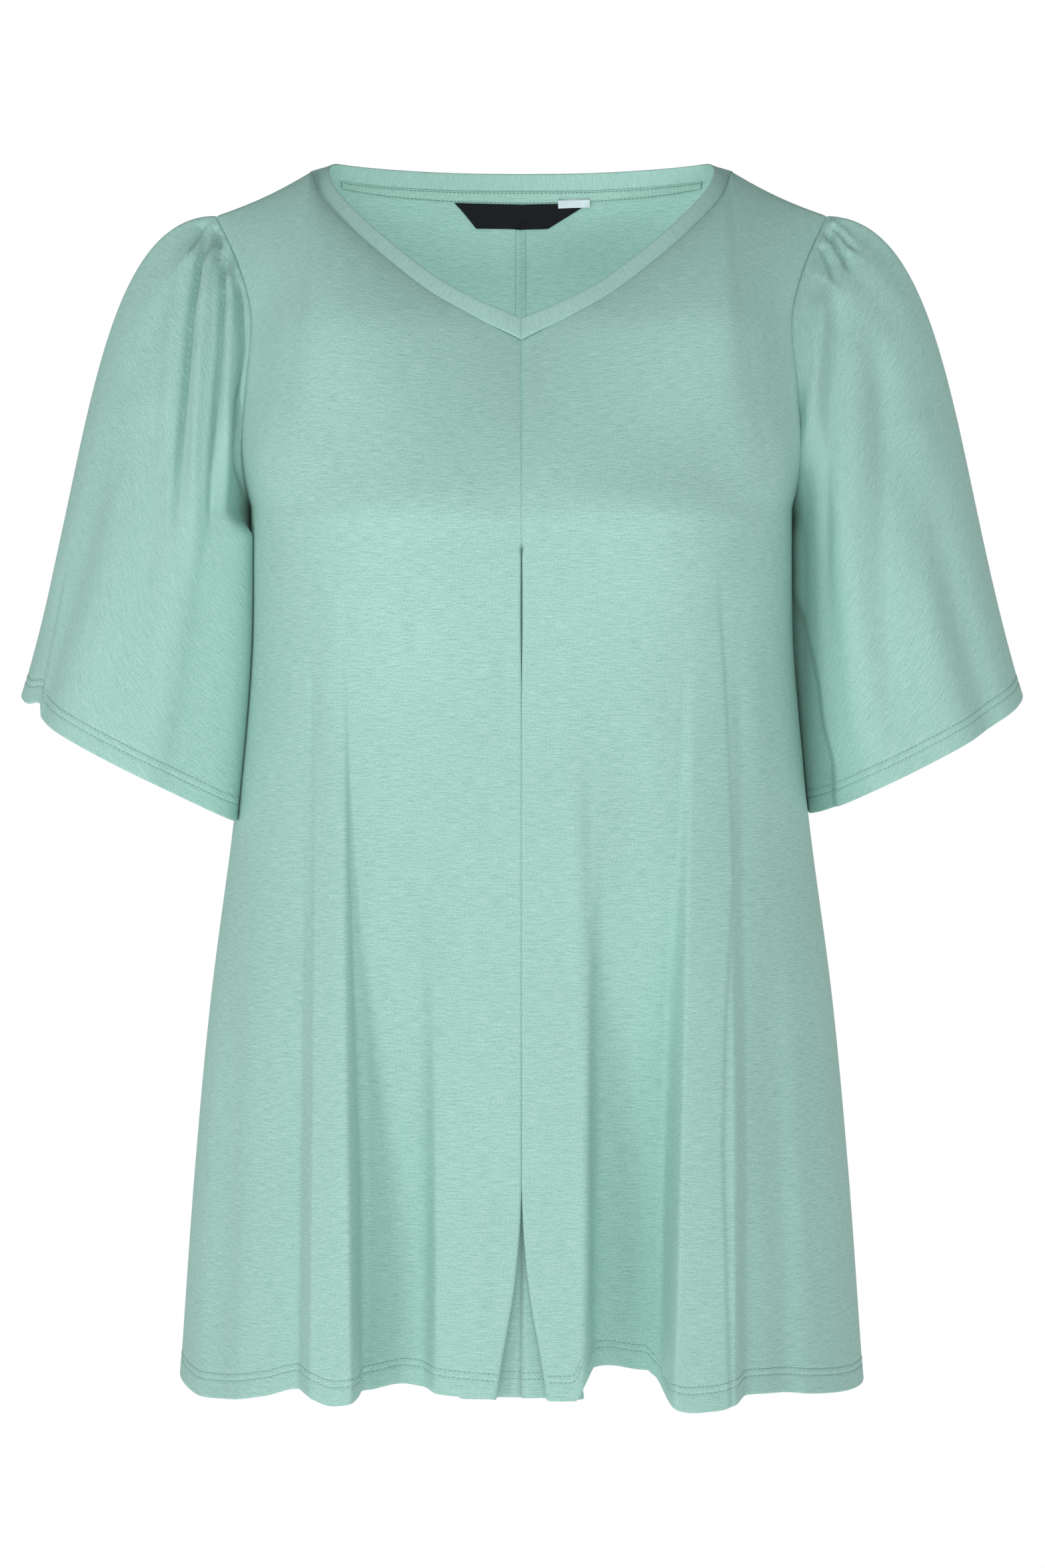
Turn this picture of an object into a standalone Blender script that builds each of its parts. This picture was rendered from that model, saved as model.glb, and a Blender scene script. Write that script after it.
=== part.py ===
"""Pleated top: a jersey swing top with a V neck, a centre front pleat and flared sleeves.

The garment keeps the hollow form that it has on a wearer. Lengths are in millimetres and become
metres in place(). +Z is up, the front faces -Y and the wearer's left is +X. The origin lies midway
between the two points where the shoulder seams meet the neckband.
"""

from collections import namedtuple
import math

import bmesh
import bpy
from mathutils import Vector
import numpy as np

MM = 0.001

# Walls and the room between pieces
WALL = 1.2
BAND_WALL = 2.0
TAPE_WALL = 1.0
LABEL_WALL = 1.0
SEAM = 0.3

# Driving sizes
SHOULDER = (196.0, 0.0, -37.0)
HEM_SIDE = 220.0
UNDERARM_LEVEL = -225.0
UNDERARM_SIDE = 173.0
PLEAT_LEVEL = -252.0
HEM_LEVEL = -780.0
PLEAT_RETURN = 18.0
SHOULDER_SAG = 2.0
BUST_AT = (92.0, -225.0)
BUST_REACH = (52.0, 62.0)
BUST_RISE = 10.0

# Grid counts
FACE_COLUMNS = 34
FACE_NECK_COLUMN = 24
BACK_COLUMNS = 20
BACK_NECK_COLUMN = 13
YOKE_ROWS = 8
SKIRT_ROWS = 11
SLEEVE_COLUMNS = 44
SLEEVE_ROWS = 10

# The neck seam from the V round to the centre back, and the band's own width there
NeckRow = namedtuple("NeckRow", "x y z lean_x lean_y rise")
NECK_FRONT = (
    NeckRow(0, -95, -120.3, 0.0, 6.0, 13.0),
    NeckRow(32, -90, -104.6, -4.6, 4.0, 9.0),
    NeckRow(57, -82, -90.4, -5.5, 4.0, 8.2),
    NeckRow(83, -70, -70.4, -6.4, 4.0, 7.4),
    NeckRow(106, -55, -50.0, -7.5, 3.5, 6.6),
    NeckRow(127, -30, -27.4, -8.6, 2.0, 6.2),
    NeckRow(135, 0, -8.8, -8.9, 0.0, 6.9),
)
NECK_BACK = (
    NeckRow(0, 64, -15.0, 0.0, -2.0, 10.4),
    NeckRow(45, 62, -14.5, -1.0, -2.4, 10.3),
    NeckRow(88, 53, -12.6, -3.0, -3.0, 9.8),
    NeckRow(122, 32, -10.0, -6.6, -2.2, 8.4),
    NeckRow(135, 0, -8.8, -8.9, 0.0, 6.9),
)

# The armhole from the shoulder to the underarm
ArmRow = namedtuple("ArmRow", "share x y z")
ARM_FRONT = (
    ArmRow(0.0, 196, 0, -37),
    ArmRow(0.2, 179, -30, -74),
    ArmRow(0.4, 171, -48, -110),
    ArmRow(0.6, 174, -56, -150),
    ArmRow(0.8, 177, -50, -190),
    ArmRow(0.92, 175, -28, -215),
    ArmRow(1.0, 173, 0, -225),
)
ARM_BACK = (
    ArmRow(0.0, 196, 0, -37),
    ArmRow(0.2, 187, 28, -72),
    ArmRow(0.4, 180, 47, -108),
    ArmRow(0.6, 177, 57, -150),
    ArmRow(0.8, 176, 48, -192),
    ArmRow(0.92, 174, 26, -216),
    ArmRow(1.0, 173, 0, -225),
)

# How the yoke rounds over from its top edge: lower is rounder, at the centre, neck point and shoulder
YOKE_ROUND = {"front": (1.0, 0.5, 0.5), "back": (0.8, 0.4, 0.5)}

# Level sections of the body below the arms: half width, depths and squareness
Section = namedtuple("Section", "level side front back square")
BODY = (
    Section(-225, 173, 148, 114, 2.6),
    Section(-258, 173, 150, 115, 2.6),
    Section(-310, 174, 152, 113, 2.5),
    Section(-348, 177, 153, 112, 2.4),
    Section(-425, 185, 156, 112, 2.35),
    Section(-541, 200, 161, 116, 2.3),
    Section(-645, 210, 166, 121, 2.25),
    Section(-780, 220, 172, 128, 2.2),
    Section(-820, 223, 174, 130, 2.2),
)

# Hanging folds, with x across the whole garment: where each starts and what it is at the hem
Fold = namedtuple("Fold", "start full x_start x_hem half_start half_hem soft depth")
FRONT_FOLDS = (
    Fold(-290, -640, -123, -117.5, 9, 17, 12, 26),
    Fold(-520, -760, -76, -79, 12, 21, 12, -13),
    Fold(-400, -700, -184, -191, 6, 9, 16, -6),
    Fold(-480, -740, 66, 64.5, 16, 23.5, 9, -28),
    Fold(-280, -620, 124, 113, 14, 23, 13, 28),
    Fold(-460, -700, 160, 165, 5, 8, 16, -6),
)
BACK_FOLDS = (
    Fold(-330, -660, -150, -158, 8, 15, 22, 15),
    Fold(-300, -680, -66, -72, 10, 20, 26, -14),
    Fold(-360, -700, -10, -8, 8, 18, 26, 9),
    Fold(-300, -640, 62, 74, 10, 22, 24, 16),
    Fold(-380, -680, 132, 140, 8, 16, 24, -13),
)

# The hem's level across the front and the back
HemRow = namedtuple("HemRow", "x z")
HEM_FRONT = (
    HemRow(-221, -781), HemRow(-201, -786), HemRow(-161, -778), HemRow(-138, -771),
    HemRow(-117, -776), HemRow(-96, -772), HemRow(-75, -767), HemRow(-54, -770),
    HemRow(-14, -773), HemRow(34, -774), HemRow(42, -762), HemRow(80, -761), HemRow(90, -774),
    HemRow(118, -779), HemRow(143, -775), HemRow(165, -777), HemRow(204, -783), HemRow(221, -785),
)
HEM_BACK = (
    HemRow(-221, -781), HemRow(-158, -788), HemRow(-72, -780), HemRow(0, -786),
    HemRow(74, -789), HemRow(140, -780), HemRow(221, -787),
)

# The pleat down its length: half opening, and the room in front of and behind the return
PleatRow = namedtuple("PleatRow", "level opening front_room back_room")
PLEAT = (
    PleatRow(-252, 0.9, 1.1, 1.1),
    PleatRow(-320, 1.5, 1.2, 1.2),
    PleatRow(-420, 0.9, 1.1, 1.1),
    PleatRow(-655, 0.9, 1.2, 1.4),
    PleatRow(-719, 3.8, 1.6, 2.2),
    PleatRow(-775, 14.0, 2.2, 3.6),
    PleatRow(-800, 18.0, 2.4, 4.0),
)
LAYER_STEPS = 3
BEND_STEPS = 3
PLEAT_COLUMNS = 2 * (LAYER_STEPS + 1) + 2 * BEND_STEPS

# Sleeve: hem loop, and how the cloth leaves the armhole and reaches the hem
SLEEVE_HEM_CENTRE = (253.0, 2.0, -384.0)
SLEEVE_HEM_OUT = 69.0
SLEEVE_HEM_IN = 69.0
SLEEVE_HEM_DEPTH = 78.0
SLEEVE_HEM_SQUARE = 2.3
SLEEVE_HEM_SLOPE = 0.51
SLEEVE_HEM_TIP = 0.05
SLEEVE_HEM_KICK = 5.0
SLEEVE_TOP_GAP = 0.7
SLEEVE_UNDER_GAP = 1.9
SLEEVE_BODY_GAP = 2.1
LEAVE_TOP, REACH_TOP = (240, 0, 0), (130, 0, -420)
LEAVE_FRONT, REACH_FRONT = (95, -40, -150), (70, -10, -260)
LEAVE_UNDER, REACH_UNDER = (24, 0, -130), (30, 0, -170)
LEAVE_BACK, REACH_BACK = (95, 40, -140), (70, 10, -260)

# Gathers at a sleeve's head: where round the armhole, height and how far down they run
Gather = namedtuple("Gather", "around half height run")
GATHERS = {
    "left": (
        Gather(-0.135, 0.016, 3.0, 0.30), Gather(-0.085, 0.017, 3.6, 0.42),
        Gather(-0.035, 0.015, 3.2, 0.34), Gather(0.020, 0.016, 3.8, 0.50),
        Gather(0.070, 0.017, 4.0, 0.62), Gather(0.125, 0.018, 3.4, 0.46),
    ),
    "right": (
        Gather(-0.130, 0.017, 3.2, 0.36), Gather(-0.075, 0.016, 3.4, 0.30),
        Gather(-0.025, 0.016, 3.6, 0.44), Gather(0.030, 0.015, 3.4, 0.40),
        Gather(0.080, 0.018, 4.0, 0.66), Gather(0.135, 0.017, 3.8, 0.52),
    ),
}
SLEEVE_WAVES = {
    "left": (Gather(0.14, 0.05, 7.0, 1.0), Gather(0.30, 0.05, -6.0, 1.0), Gather(-0.20, 0.06, 6.0, 1.0)),
    "right": (Gather(0.10, 0.05, 6.0, 1.0), Gather(0.27, 0.05, -7.0, 1.0), Gather(-0.24, 0.06, 6.0, 1.0)),
}

BAND_LAYERS = 2
BAND_GAP = 0.45
BAND_NECK_GAP = 1.6

# Inside the back neck
TAPE_REACH = 0.84
TAPE_TOP, TAPE_DROP = 0.6, 9.4
LABEL_TOP, LABEL_DROP = 10.6, 27.0
LABEL_TOP_HALF = 43.5
LABEL_FOOT = (-28.5, 16.5)
TAB_LEFT, TAB_RIGHT = 24.0, 44.5
TAB_TOP, TAB_DROP = 7.0, 12.4

SAGE = (0.342, 0.571, 0.515, 1.0)
PALE = (0.66, 0.75, 0.78, 1.0)
INK = (0.012, 0.014, 0.018, 1.0)


def clear_scene():
    for thing in list(bpy.data.objects):
        bpy.data.objects.remove(thing, do_unlink=True)


def ease(value):
    """0 to 1 with a level start and end."""
    value = min(1.0, max(0.0, value))
    return value * value * (3 - 2 * value)


def mix(first, second, share):
    return first + (second - first) * share


def read(rows, column, at):
    """A column's value at a key, the first column, on a smooth curve that is level at its peaks."""
    keys = np.array([row[0] for row in rows], float)
    values = np.array([getattr(row, column) for row in rows], float)
    if keys[0] > keys[-1]:
        keys, values = keys[::-1], values[::-1]
    steps = np.diff(values) / np.diff(keys)
    slopes = np.concatenate([steps[:1], (steps[1:] + steps[:-1]) / 2, steps[-1:]])
    turns = steps[1:] * steps[:-1] <= 0
    slopes[1:-1][turns] = 0.0
    at = min(max(at, keys[0]), keys[-1])
    low = int(min(np.searchsorted(keys, at, "right"), len(keys) - 1)) - 1
    span = keys[low + 1] - keys[low]
    t = (at - keys[low]) / span
    start, end = slopes[low] * span, slopes[low + 1] * span
    return float(
        values[low] * (1 + 2 * t) * (1 - t) ** 2 + values[low + 1] * t * t * (3 - 2 * t)
        + start * t * (1 - t) ** 2 - end * t * t * (1 - t)
    )


def smooth_line(rows, columns, steps=16):
    """Many points on one smooth curve through the rows, and the share of the way at each."""
    points = np.array([[getattr(row, name) for name in columns] for row in rows], float)
    slopes = np.gradient(points, axis=0)
    line = [points[0]]
    for i in range(len(points) - 1):
        for t in np.linspace(0, 1, steps + 1)[1:]:
            line.append(
                points[i] * (1 + 2 * t) * (1 - t) ** 2 + points[i + 1] * t * t * (3 - 2 * t)
                + slopes[i] * t * (1 - t) ** 2 - slopes[i + 1] * t * t * (1 - t)
            )
    line = np.array(line)
    way = np.concatenate([[0], np.cumsum(np.linalg.norm(np.diff(line[:, :3], axis=0), axis=1))])
    return line, way / way[-1]


def along(line, share):
    """The curve's values a share of the way along it."""
    points, way = line
    return np.array([np.interp(share, way, column) for column in points.T])


NECK_COLUMNS = ("x", "y", "z", "lean_x", "lean_y", "rise")
NECK_LINES = {
    "front": smooth_line(NECK_FRONT, NECK_COLUMNS),
    "back": smooth_line(NECK_BACK, NECK_COLUMNS),
}
ARM_ROWS = {"front": ARM_FRONT, "back": ARM_BACK}


def armhole(part, share):
    return np.array([read(ARM_ROWS[part], axis, share) for axis in "xyz"])


def fold_push(folds, x, level):
    """How far forward the hanging folds carry the cloth here."""
    push = 0.0
    for fold in folds:
        grown = ease((fold.start - level) / (fold.start - fold.full))
        share = min(1.0, max(0.0, (fold.start - level) / (fold.start - HEM_LEVEL)))
        centre = mix(fold.x_start, fold.x_hem, share)
        half = mix(fold.half_start, fold.half_hem, share)
        push += fold.depth * grown * (1 - ease((abs(x - centre) - half) / fold.soft + 0.5))
    return push


def bust_push(x, level):
    across = (abs(x) - BUST_AT[0]) / BUST_REACH[0]
    down = (level - BUST_AT[1]) / BUST_REACH[1]
    return BUST_RISE * math.exp(-across * across - down * down)


def body_depth(part, x, level):
    """How far the body's level section lies in front of or behind the side seam."""
    side = read(BODY, "side", level)
    square = read(BODY, "square", level)
    rest = max(0.0, 1 - (abs(x) / side) ** square)
    return read(BODY, part, level) * rest ** (1 / square)


def skirt_point(part, side, across, level, start):
    """A point below the underarm; across runs from the centre, start, to the side seam."""
    reach = read(BODY, "side", level)
    out = HEM_SIDE * across - (HEM_SIDE - reach) * across ** 4
    x = side * (start + (1 - start / reach) * out)
    depth = body_depth(part, x, level)
    near_side = ease((1 - abs(x) / reach) * 12)
    if part == "front":
        depth += fold_push(FRONT_FOLDS, x, level) * near_side + bust_push(x, level)
        return np.array([x, -depth, level])
    depth += fold_push(BACK_FOLDS, x, level) * near_side
    return np.array([x, depth, level])


def top_point(part, column, neck_column, last):
    """The panel's upper edge: the neck seam as far as the neck point, then the shoulder seam."""
    if column <= neck_column:
        return along(NECK_LINES[part], column / neck_column)[:3]
    neck = along(NECK_LINES[part], 1.0)[:3]
    out = (column - neck_column) / (last - neck_column)
    sag = np.array([0.0, 0.0, -SHOULDER_SAG * math.sin(math.pi * out)])
    return mix(neck, np.array(SHOULDER), out) + sag


def yoke_point(part, side, column, neck_column, last, across, down):
    """A point between the upper edge and the underarm level, on a patch between its four edges."""
    top = top_point(part, column, neck_column, last)
    low = skirt_point(part, 1, across, UNDERARM_LEVEL, 0.0)
    arm = armhole(part, down)
    straight = mix(np.array(SHOULDER), np.array([UNDERARM_SIDE, 0.0, UNDERARM_LEVEL]), down)
    edge = column / last
    point = mix(top, low, down) + (arm - straight) * edge ** 3
    centre, neck, tip = YOKE_ROUND[part]
    inner = max(0.0, 1 - column / neck_column)
    outer = max(0.0, (column - neck_column) / (last - neck_column))
    power = mix(mix(neck, centre, inner ** 0.8), tip, outer)
    arc = math.sin(down * math.pi / 2) ** power
    point[1] = mix(top[1], low[1], arc) + arm[1] * edge ** 3
    return point * np.array([side, 1, 1])


def spread(count, crowd_at, crowd_width, crowd):
    """Shares of the way from the centre to the side, closer together where the folds are."""
    fine = np.linspace(0, 1, 400)
    density = 1 + crowd * np.exp(-(((fine - crowd_at) / crowd_width) ** 2))
    total = np.concatenate([[0], np.cumsum((density[1:] + density[:-1]) / 2)])
    shares = np.interp(np.linspace(0, total[-1], count + 1), total, fine)
    return np.sin(shares * math.pi / 2)


def pleat_point(index, level):
    """Distance from the centre line and depth behind the face, from the underlay's centre seam."""
    opening = read(PLEAT, "opening", level)
    front_bend = read(PLEAT, "front_room", level)
    back_bend = read(PLEAT, "back_room", level)
    near, far = opening + front_bend, opening + PLEAT_RETURN
    deep = 2 * (front_bend + back_bend)
    if index <= LAYER_STEPS:
        return mix(SEAM / 2, far, index / LAYER_STEPS), deep
    index -= LAYER_STEPS
    if index <= BEND_STEPS:
        turn = math.pi * index / (BEND_STEPS + 1)
        return far + back_bend * math.sin(turn), deep - back_bend * (1 - math.cos(turn))
    index -= BEND_STEPS + 1
    if index <= LAYER_STEPS:
        return mix(far, near, index / LAYER_STEPS), 2 * front_bend
    turn = math.pi * (index - LAYER_STEPS) / (BEND_STEPS + 1)
    return near - front_bend * math.sin(turn), front_bend * (1 + math.cos(turn))


def face_start(level):
    """Where the front's face begins beside the centre line."""
    if level > PLEAT_LEVEL + 1:
        return SEAM / 2
    return read(PLEAT, "opening", level) + read(PLEAT, "front_room", level)


def hem_level(part, x):
    return read(HEM_FRONT if part == "front" else HEM_BACK, "z", x)


def skirt_level(part, x, row):
    """The level of a row below the underarm; the first one ends where the pleat starts."""
    if row == 0:
        return PLEAT_LEVEL
    return mix(PLEAT_LEVEL, hem_level(part, x), (row / SKIRT_ROWS) ** 0.92)


def grid_object(name, columns, rows, place_point, wall, colour, drop=None, ring=False):
    """A sheet from a grid whose points place_point(column, row) sets, given its wall."""
    bm = bmesh.new()
    bmesh.ops.create_grid(bm, x_segments=columns, y_segments=rows, size=1.0)
    spots = {}
    for vert in bm.verts:
        column = round((vert.co.x + 1) / 2 * columns)
        row = round((1 - vert.co.y) / 2 * rows)
        spots[vert] = (column, row)
    if drop:
        gone = [face for face in bm.faces if drop([spots[vert] for vert in face.verts])]
        bmesh.ops.delete(bm, geom=gone, context="FACES")
    for vert in bm.verts:
        vert.co = Vector(place_point(*spots[vert])) * MM
    if ring:
        bmesh.ops.remove_doubles(bm, verts=bm.verts, dist=0.00001)
    bmesh.ops.recalc_face_normals(bm, faces=bm.faces)
    mesh = bpy.data.meshes.new(name)
    bm.to_mesh(mesh)
    bm.free()
    mesh.shade_smooth()
    made = bpy.data.objects.new(name, mesh)
    bpy.context.collection.objects.link(made)
    thickness = made.modifiers.new("Wall", "SOLIDIFY")
    thickness.thickness = wall * MM
    thickness.offset = 0.0
    thickness.use_even_offset = True
    mesh.materials.append(cloth_material(name, colour))
    return made


def cloth_material(name, colour):
    material = bpy.data.materials.new(name)
    material.use_nodes = True
    shader = material.node_tree.nodes["Principled BSDF"]
    shader.inputs["Base Color"].default_value = colour
    shader.inputs["Roughness"].default_value = 0.8
    shader.inputs["Metallic"].default_value = 0.0
    return material


def make_front(name, side):
    """Half a front: underlay, return and face, with the pleat's layers only below its start."""
    shares = spread(FACE_COLUMNS, 0.33, 0.17, 1.3)
    columns = PLEAT_COLUMNS + FACE_COLUMNS
    rows = YOKE_ROWS + 1 + SKIRT_ROWS

    def point(column, row):
        below = row - YOKE_ROWS - 1
        face = column - PLEAT_COLUMNS
        if below < 0 and face >= 0:
            down = (row / YOKE_ROWS) ** 1.2
            spot = yoke_point("front", side, face, FACE_NECK_COLUMN, FACE_COLUMNS, shares[face], down)
            spot[0] += side * (face_start(0.0)) * (1 - face / FACE_COLUMNS) ** 4
            spot[1] -= (SEAM / 2 + WALL / 3) * (1 - min(1, down * 8)) * (face > FACE_NECK_COLUMN - 1)
            return spot
        below = max(0, below)
        if face >= 0:
            rough = side * mix(face_start(HEM_LEVEL), HEM_SIDE, shares[face])
            level = skirt_level("front", rough, below)
            spot = skirt_point("front", side, shares[face], level, face_start(level))
            spot[1] -= (SEAM / 2 + 0.05) * (face == FACE_COLUMNS)
            return spot
        level = skirt_level("front", side * 10.0, below)
        gap, deep = pleat_point(column, level)
        spot = np.array([side * gap, 0.0, level])
        spot[1] = -body_depth("front", gap, level) - fold_push(FRONT_FOLDS, side * gap, level)
        spot[1] += deep - bust_push(gap, level)
        return spot

    def above_pleat(spots):
        return (min(column for column, _ in spots) < PLEAT_COLUMNS
                and min(row for _, row in spots) < YOKE_ROWS + 1)

    return grid_object(name, columns, rows, point, WALL, SAGE, drop=above_pleat)


def back_point(side, column, row):
    """A point of half a back's grid, from the centre back seam to the side."""
    shares = spread(BACK_COLUMNS, 0.4, 0.3, 0.3)
    below = row - YOKE_ROWS - 1
    if below < 0:
        down = (row / YOKE_ROWS) ** 1.2
        spot = yoke_point("back", side, column, BACK_NECK_COLUMN, BACK_COLUMNS, shares[column], down)
        spot[0] += side * face_start(0.0) * (1 - column / BACK_COLUMNS) ** 4
        spot[1] += (SEAM / 2 + WALL / 3) * (1 - min(1, down * 8)) * (column > BACK_NECK_COLUMN - 1)
        return spot
    level = skirt_level("back", side * HEM_SIDE * shares[column], below)
    spot = skirt_point("back", side, shares[column], level, face_start(0.0))
    spot[1] += (SEAM / 2 + 0.05) * (column == BACK_COLUMNS)
    return spot


def make_back(name, side):
    rows = YOKE_ROWS + 1 + SKIRT_ROWS
    grid_object(name, BACK_COLUMNS, rows, lambda column, row: back_point(side, column, row), WALL, SAGE)


def quarter_mix(around, top, front, under, back):
    """A value that turns smoothly from the top through the front and under to the back."""
    turn = 2 * math.pi * around
    up, ahead = math.cos(turn), math.sin(turn)
    total = np.zeros(3)
    for weight, value in ((up, top), (ahead, front), (-up, under), (-ahead, back)):
        total += max(0.0, weight) ** 2 * np.array(value, float)
    return total


def sleeve_start(around):
    """The armhole's point this share of the way round, from the shoulder over the front."""
    if around <= 0.5:
        return armhole("front", around * 2)
    return armhole("back", (1 - around) * 2)


def sleeve_hem(around):
    turn = 2 * math.pi * around
    bend = 2 / SLEEVE_HEM_SQUARE
    out, ahead = math.cos(turn), math.sin(turn)
    reach = SLEEVE_HEM_OUT if out > 0 else SLEEVE_HEM_IN
    x = reach * math.copysign(abs(out) ** bend, out)
    y = -SLEEVE_HEM_DEPTH * math.copysign(abs(ahead) ** bend, ahead)
    z = SLEEVE_HEM_SLOPE * x + SLEEVE_HEM_TIP * y + SLEEVE_HEM_KICK * max(0.0, out) ** 6
    return np.array(SLEEVE_HEM_CENTRE) + np.array([x, y, z])


def gather_height(waves, around, down, fades):
    """How far the gathers or waves lift the sleeve's cloth here."""
    lift = 0.0
    for wave in waves:
        away = (around - wave.around + 0.5) % 1.0 - 0.5
        strength = ease(1 - down / wave.run) if fades else ease(down)
        lift += wave.height * strength * math.exp(-((away / wave.half) ** 2) * 1.6)
    return lift


def sleeve_surface(around, down):
    """The sleeve's smooth form, before its gathers."""
    start, end = sleeve_start(around), sleeve_hem(around)
    leave = quarter_mix(around, LEAVE_TOP, LEAVE_FRONT, LEAVE_UNDER, LEAVE_BACK)
    reach = quarter_mix(around, REACH_TOP, REACH_FRONT, REACH_UNDER, REACH_BACK)
    from_top = min(around, 1 - around)
    start = start + np.array([mix(SLEEVE_TOP_GAP, SLEEVE_UNDER_GAP, (from_top * 2) ** 0.8), 0, 0])
    t = down
    point = (
        start * (1 + 2 * t) * (1 - t) ** 2 + end * t * t * (3 - 2 * t)
        + leave * t * (1 - t) ** 2 - reach * t * t * (1 - t)
    )
    return clear_of_body(point)


def clear_of_body(point):
    """Moves a sleeve point out to where it hangs just clear of the body's side."""
    x, y, z = point
    if z > UNDERARM_LEVEL - 1:
        return point
    depth = read(BODY, "front" if y < 0 else "back", z)
    square = read(BODY, "square", z)
    edge = read(BODY, "side", z) * max(0.0, 1 - (abs(y) / depth) ** square) ** (1 / square)
    clear = edge + SLEEVE_BODY_GAP * ease((UNDERARM_LEVEL - z) / 12)
    return np.array([max(x, clear), y, z])


def sleeve_columns():
    """Shares of the way round, closer together over the gathered head."""
    fine = np.linspace(-0.5, 0.5, 601)
    density = 1 + 2.2 * np.exp(-((fine / 0.17) ** 4))
    total = np.concatenate([[0], np.cumsum((density[1:] + density[:-1]) / 2)])
    return np.interp(np.linspace(0, total[-1], SLEEVE_COLUMNS + 1), total, fine) % 1.0


def make_sleeve(name, side, key):
    """A closed tube from the armhole to the hem, gathered at its head."""
    shares = sleeve_columns()

    def point(column, row):
        around = shares[column % SLEEVE_COLUMNS]
        down = (row / SLEEVE_ROWS) ** 1.1
        spot = sleeve_surface(around, down)
        step = 0.004
        across = sleeve_surface((around + step) % 1.0, down) - sleeve_surface((around - step) % 1.0, down)
        run = sleeve_surface(around, min(1.0, down + step)) - sleeve_surface(around, max(0.0, down - step))
        out = np.cross(run, across)
        out /= np.linalg.norm(out)
        lift = gather_height(GATHERS[key], around, down, True) * ease(down * 14 + 0.15)
        lift += gather_height(SLEEVE_WAVES[key], around, down, False)
        spot = spot + out * lift
        if lift < 0:
            spot = clear_of_body(spot)
        return spot * np.array([side, 1, 1])

    return grid_object(name, SLEEVE_COLUMNS, SLEEVE_ROWS, point, WALL, SAGE, ring=True)


def neck_station(index):
    """The neck seam and the band's lean at a panel's own column, counted from the V round to the V."""
    half = FACE_NECK_COLUMN + BACK_NECK_COLUMN
    side = 1 if index <= half else -1
    index = index if index <= half else 2 * half - index
    if index <= FACE_NECK_COLUMN:
        values = along(NECK_LINES["front"], index / FACE_NECK_COLUMN)
    else:
        values = along(NECK_LINES["back"], (half - index) / BACK_NECK_COLUMN)
    return values * np.array([side, 1, 1, side, 1, 1])


def make_neckband():
    """The folded binding, a closed ring just beyond the neck seam, mitred at the V."""
    stations = 2 * (FACE_NECK_COLUMN + BACK_NECK_COLUMN)

    def point(column, row):
        values = neck_station(column % stations)
        seam, lean = values[:3], values[3:]
        corner = min(abs(column % stations - FACE_NECK_COLUMN), abs(column - stations + FACE_NECK_COLUMN))
        start = mix(BAND_NECK_GAP, BAND_GAP, ease(corner / 5)) / np.linalg.norm(lean)
        return seam + lean * mix(1.0, start, row / BAND_LAYERS)

    return grid_object("neckband", stations, BAND_LAYERS, point, BAND_WALL, SAGE, ring=True)


def inside_back(x, drop):
    """A point of the back's own facets, a distance below the neck seam."""
    side = 1 if x >= 0 else -1
    edge = [abs(back_point(side, column, 0)[0]) for column in range(BACK_NECK_COLUMN + 1)]
    place = float(np.interp(abs(x), edge, range(BACK_NECK_COLUMN + 1)))
    low = min(int(place), BACK_NECK_COLUMN - 1)
    lines = [
        mix(back_point(side, low, row), back_point(side, low + 1, row), place - low) for row in range(5)
    ]
    way = np.concatenate([[0], np.cumsum(np.linalg.norm(np.diff(lines, axis=0), axis=1))])
    return np.array([np.interp(drop, way, axis) for axis in np.array(lines).T])


def inner_strip(name, ends, drops, inset, wall, colour, columns, rows):
    """A flat strip inside the back neck; ends and drops are its left and right limits by row."""

    def point(column, row):
        share = row / rows
        left, right = mix(ends[0][0], ends[1][0], share), mix(ends[0][1], ends[1][1], share)
        x = mix(left, right, column / columns)
        spot = inside_back(x, mix(drops[0], drops[1], share))
        ahead = inside_back(x + 0.5, mix(drops[0], drops[1], share))
        lower = inside_back(x, mix(drops[0], drops[1], share) + 0.5)
        out = np.cross(ahead - spot, lower - spot)
        out /= np.linalg.norm(out)
        if out[1] > 0:
            out = -out
        return spot + out * inset

    return grid_object(name, columns, rows, point, wall, colour)


def make_neck_trim():
    """The tape over the back neck seam, and the bare label and tab that hang from it."""
    line = NECK_LINES["back"]
    reach = float(np.interp(TAPE_REACH, line[1], line[0][:, 0]))
    tape_in = WALL / 2 + SEAM + TAPE_WALL / 2
    inner_strip("neck_tape", ((-reach, reach), (-reach, reach)), (TAPE_TOP, TAPE_DROP),
                tape_in, TAPE_WALL, SAGE, 24, 2)
    inner_strip("neck_label", ((-LABEL_TOP_HALF, LABEL_TOP_HALF), LABEL_FOOT), (LABEL_TOP, LABEL_DROP),
                tape_in, LABEL_WALL, INK, 8, 3)
    inner_strip("size_tab", ((TAB_LEFT, TAB_RIGHT), (TAB_LEFT, TAB_RIGHT)), (TAB_TOP, TAB_DROP),
                tape_in + TAPE_WALL + SEAM, LABEL_WALL, PALE, 4, 2)


def main():
    clear_scene()
    for name, side in (("left", 1), ("right", -1)):
        make_front("front_" + name, side)
        make_back("back_" + name, side)
        make_sleeve("sleeve_" + name, side, name)
    make_neckband()
    make_neck_trim()


main()
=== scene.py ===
from collections import namedtuple
import math

import bmesh
import bpy
from mathutils import Matrix, Vector
import numpy as np


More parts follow.
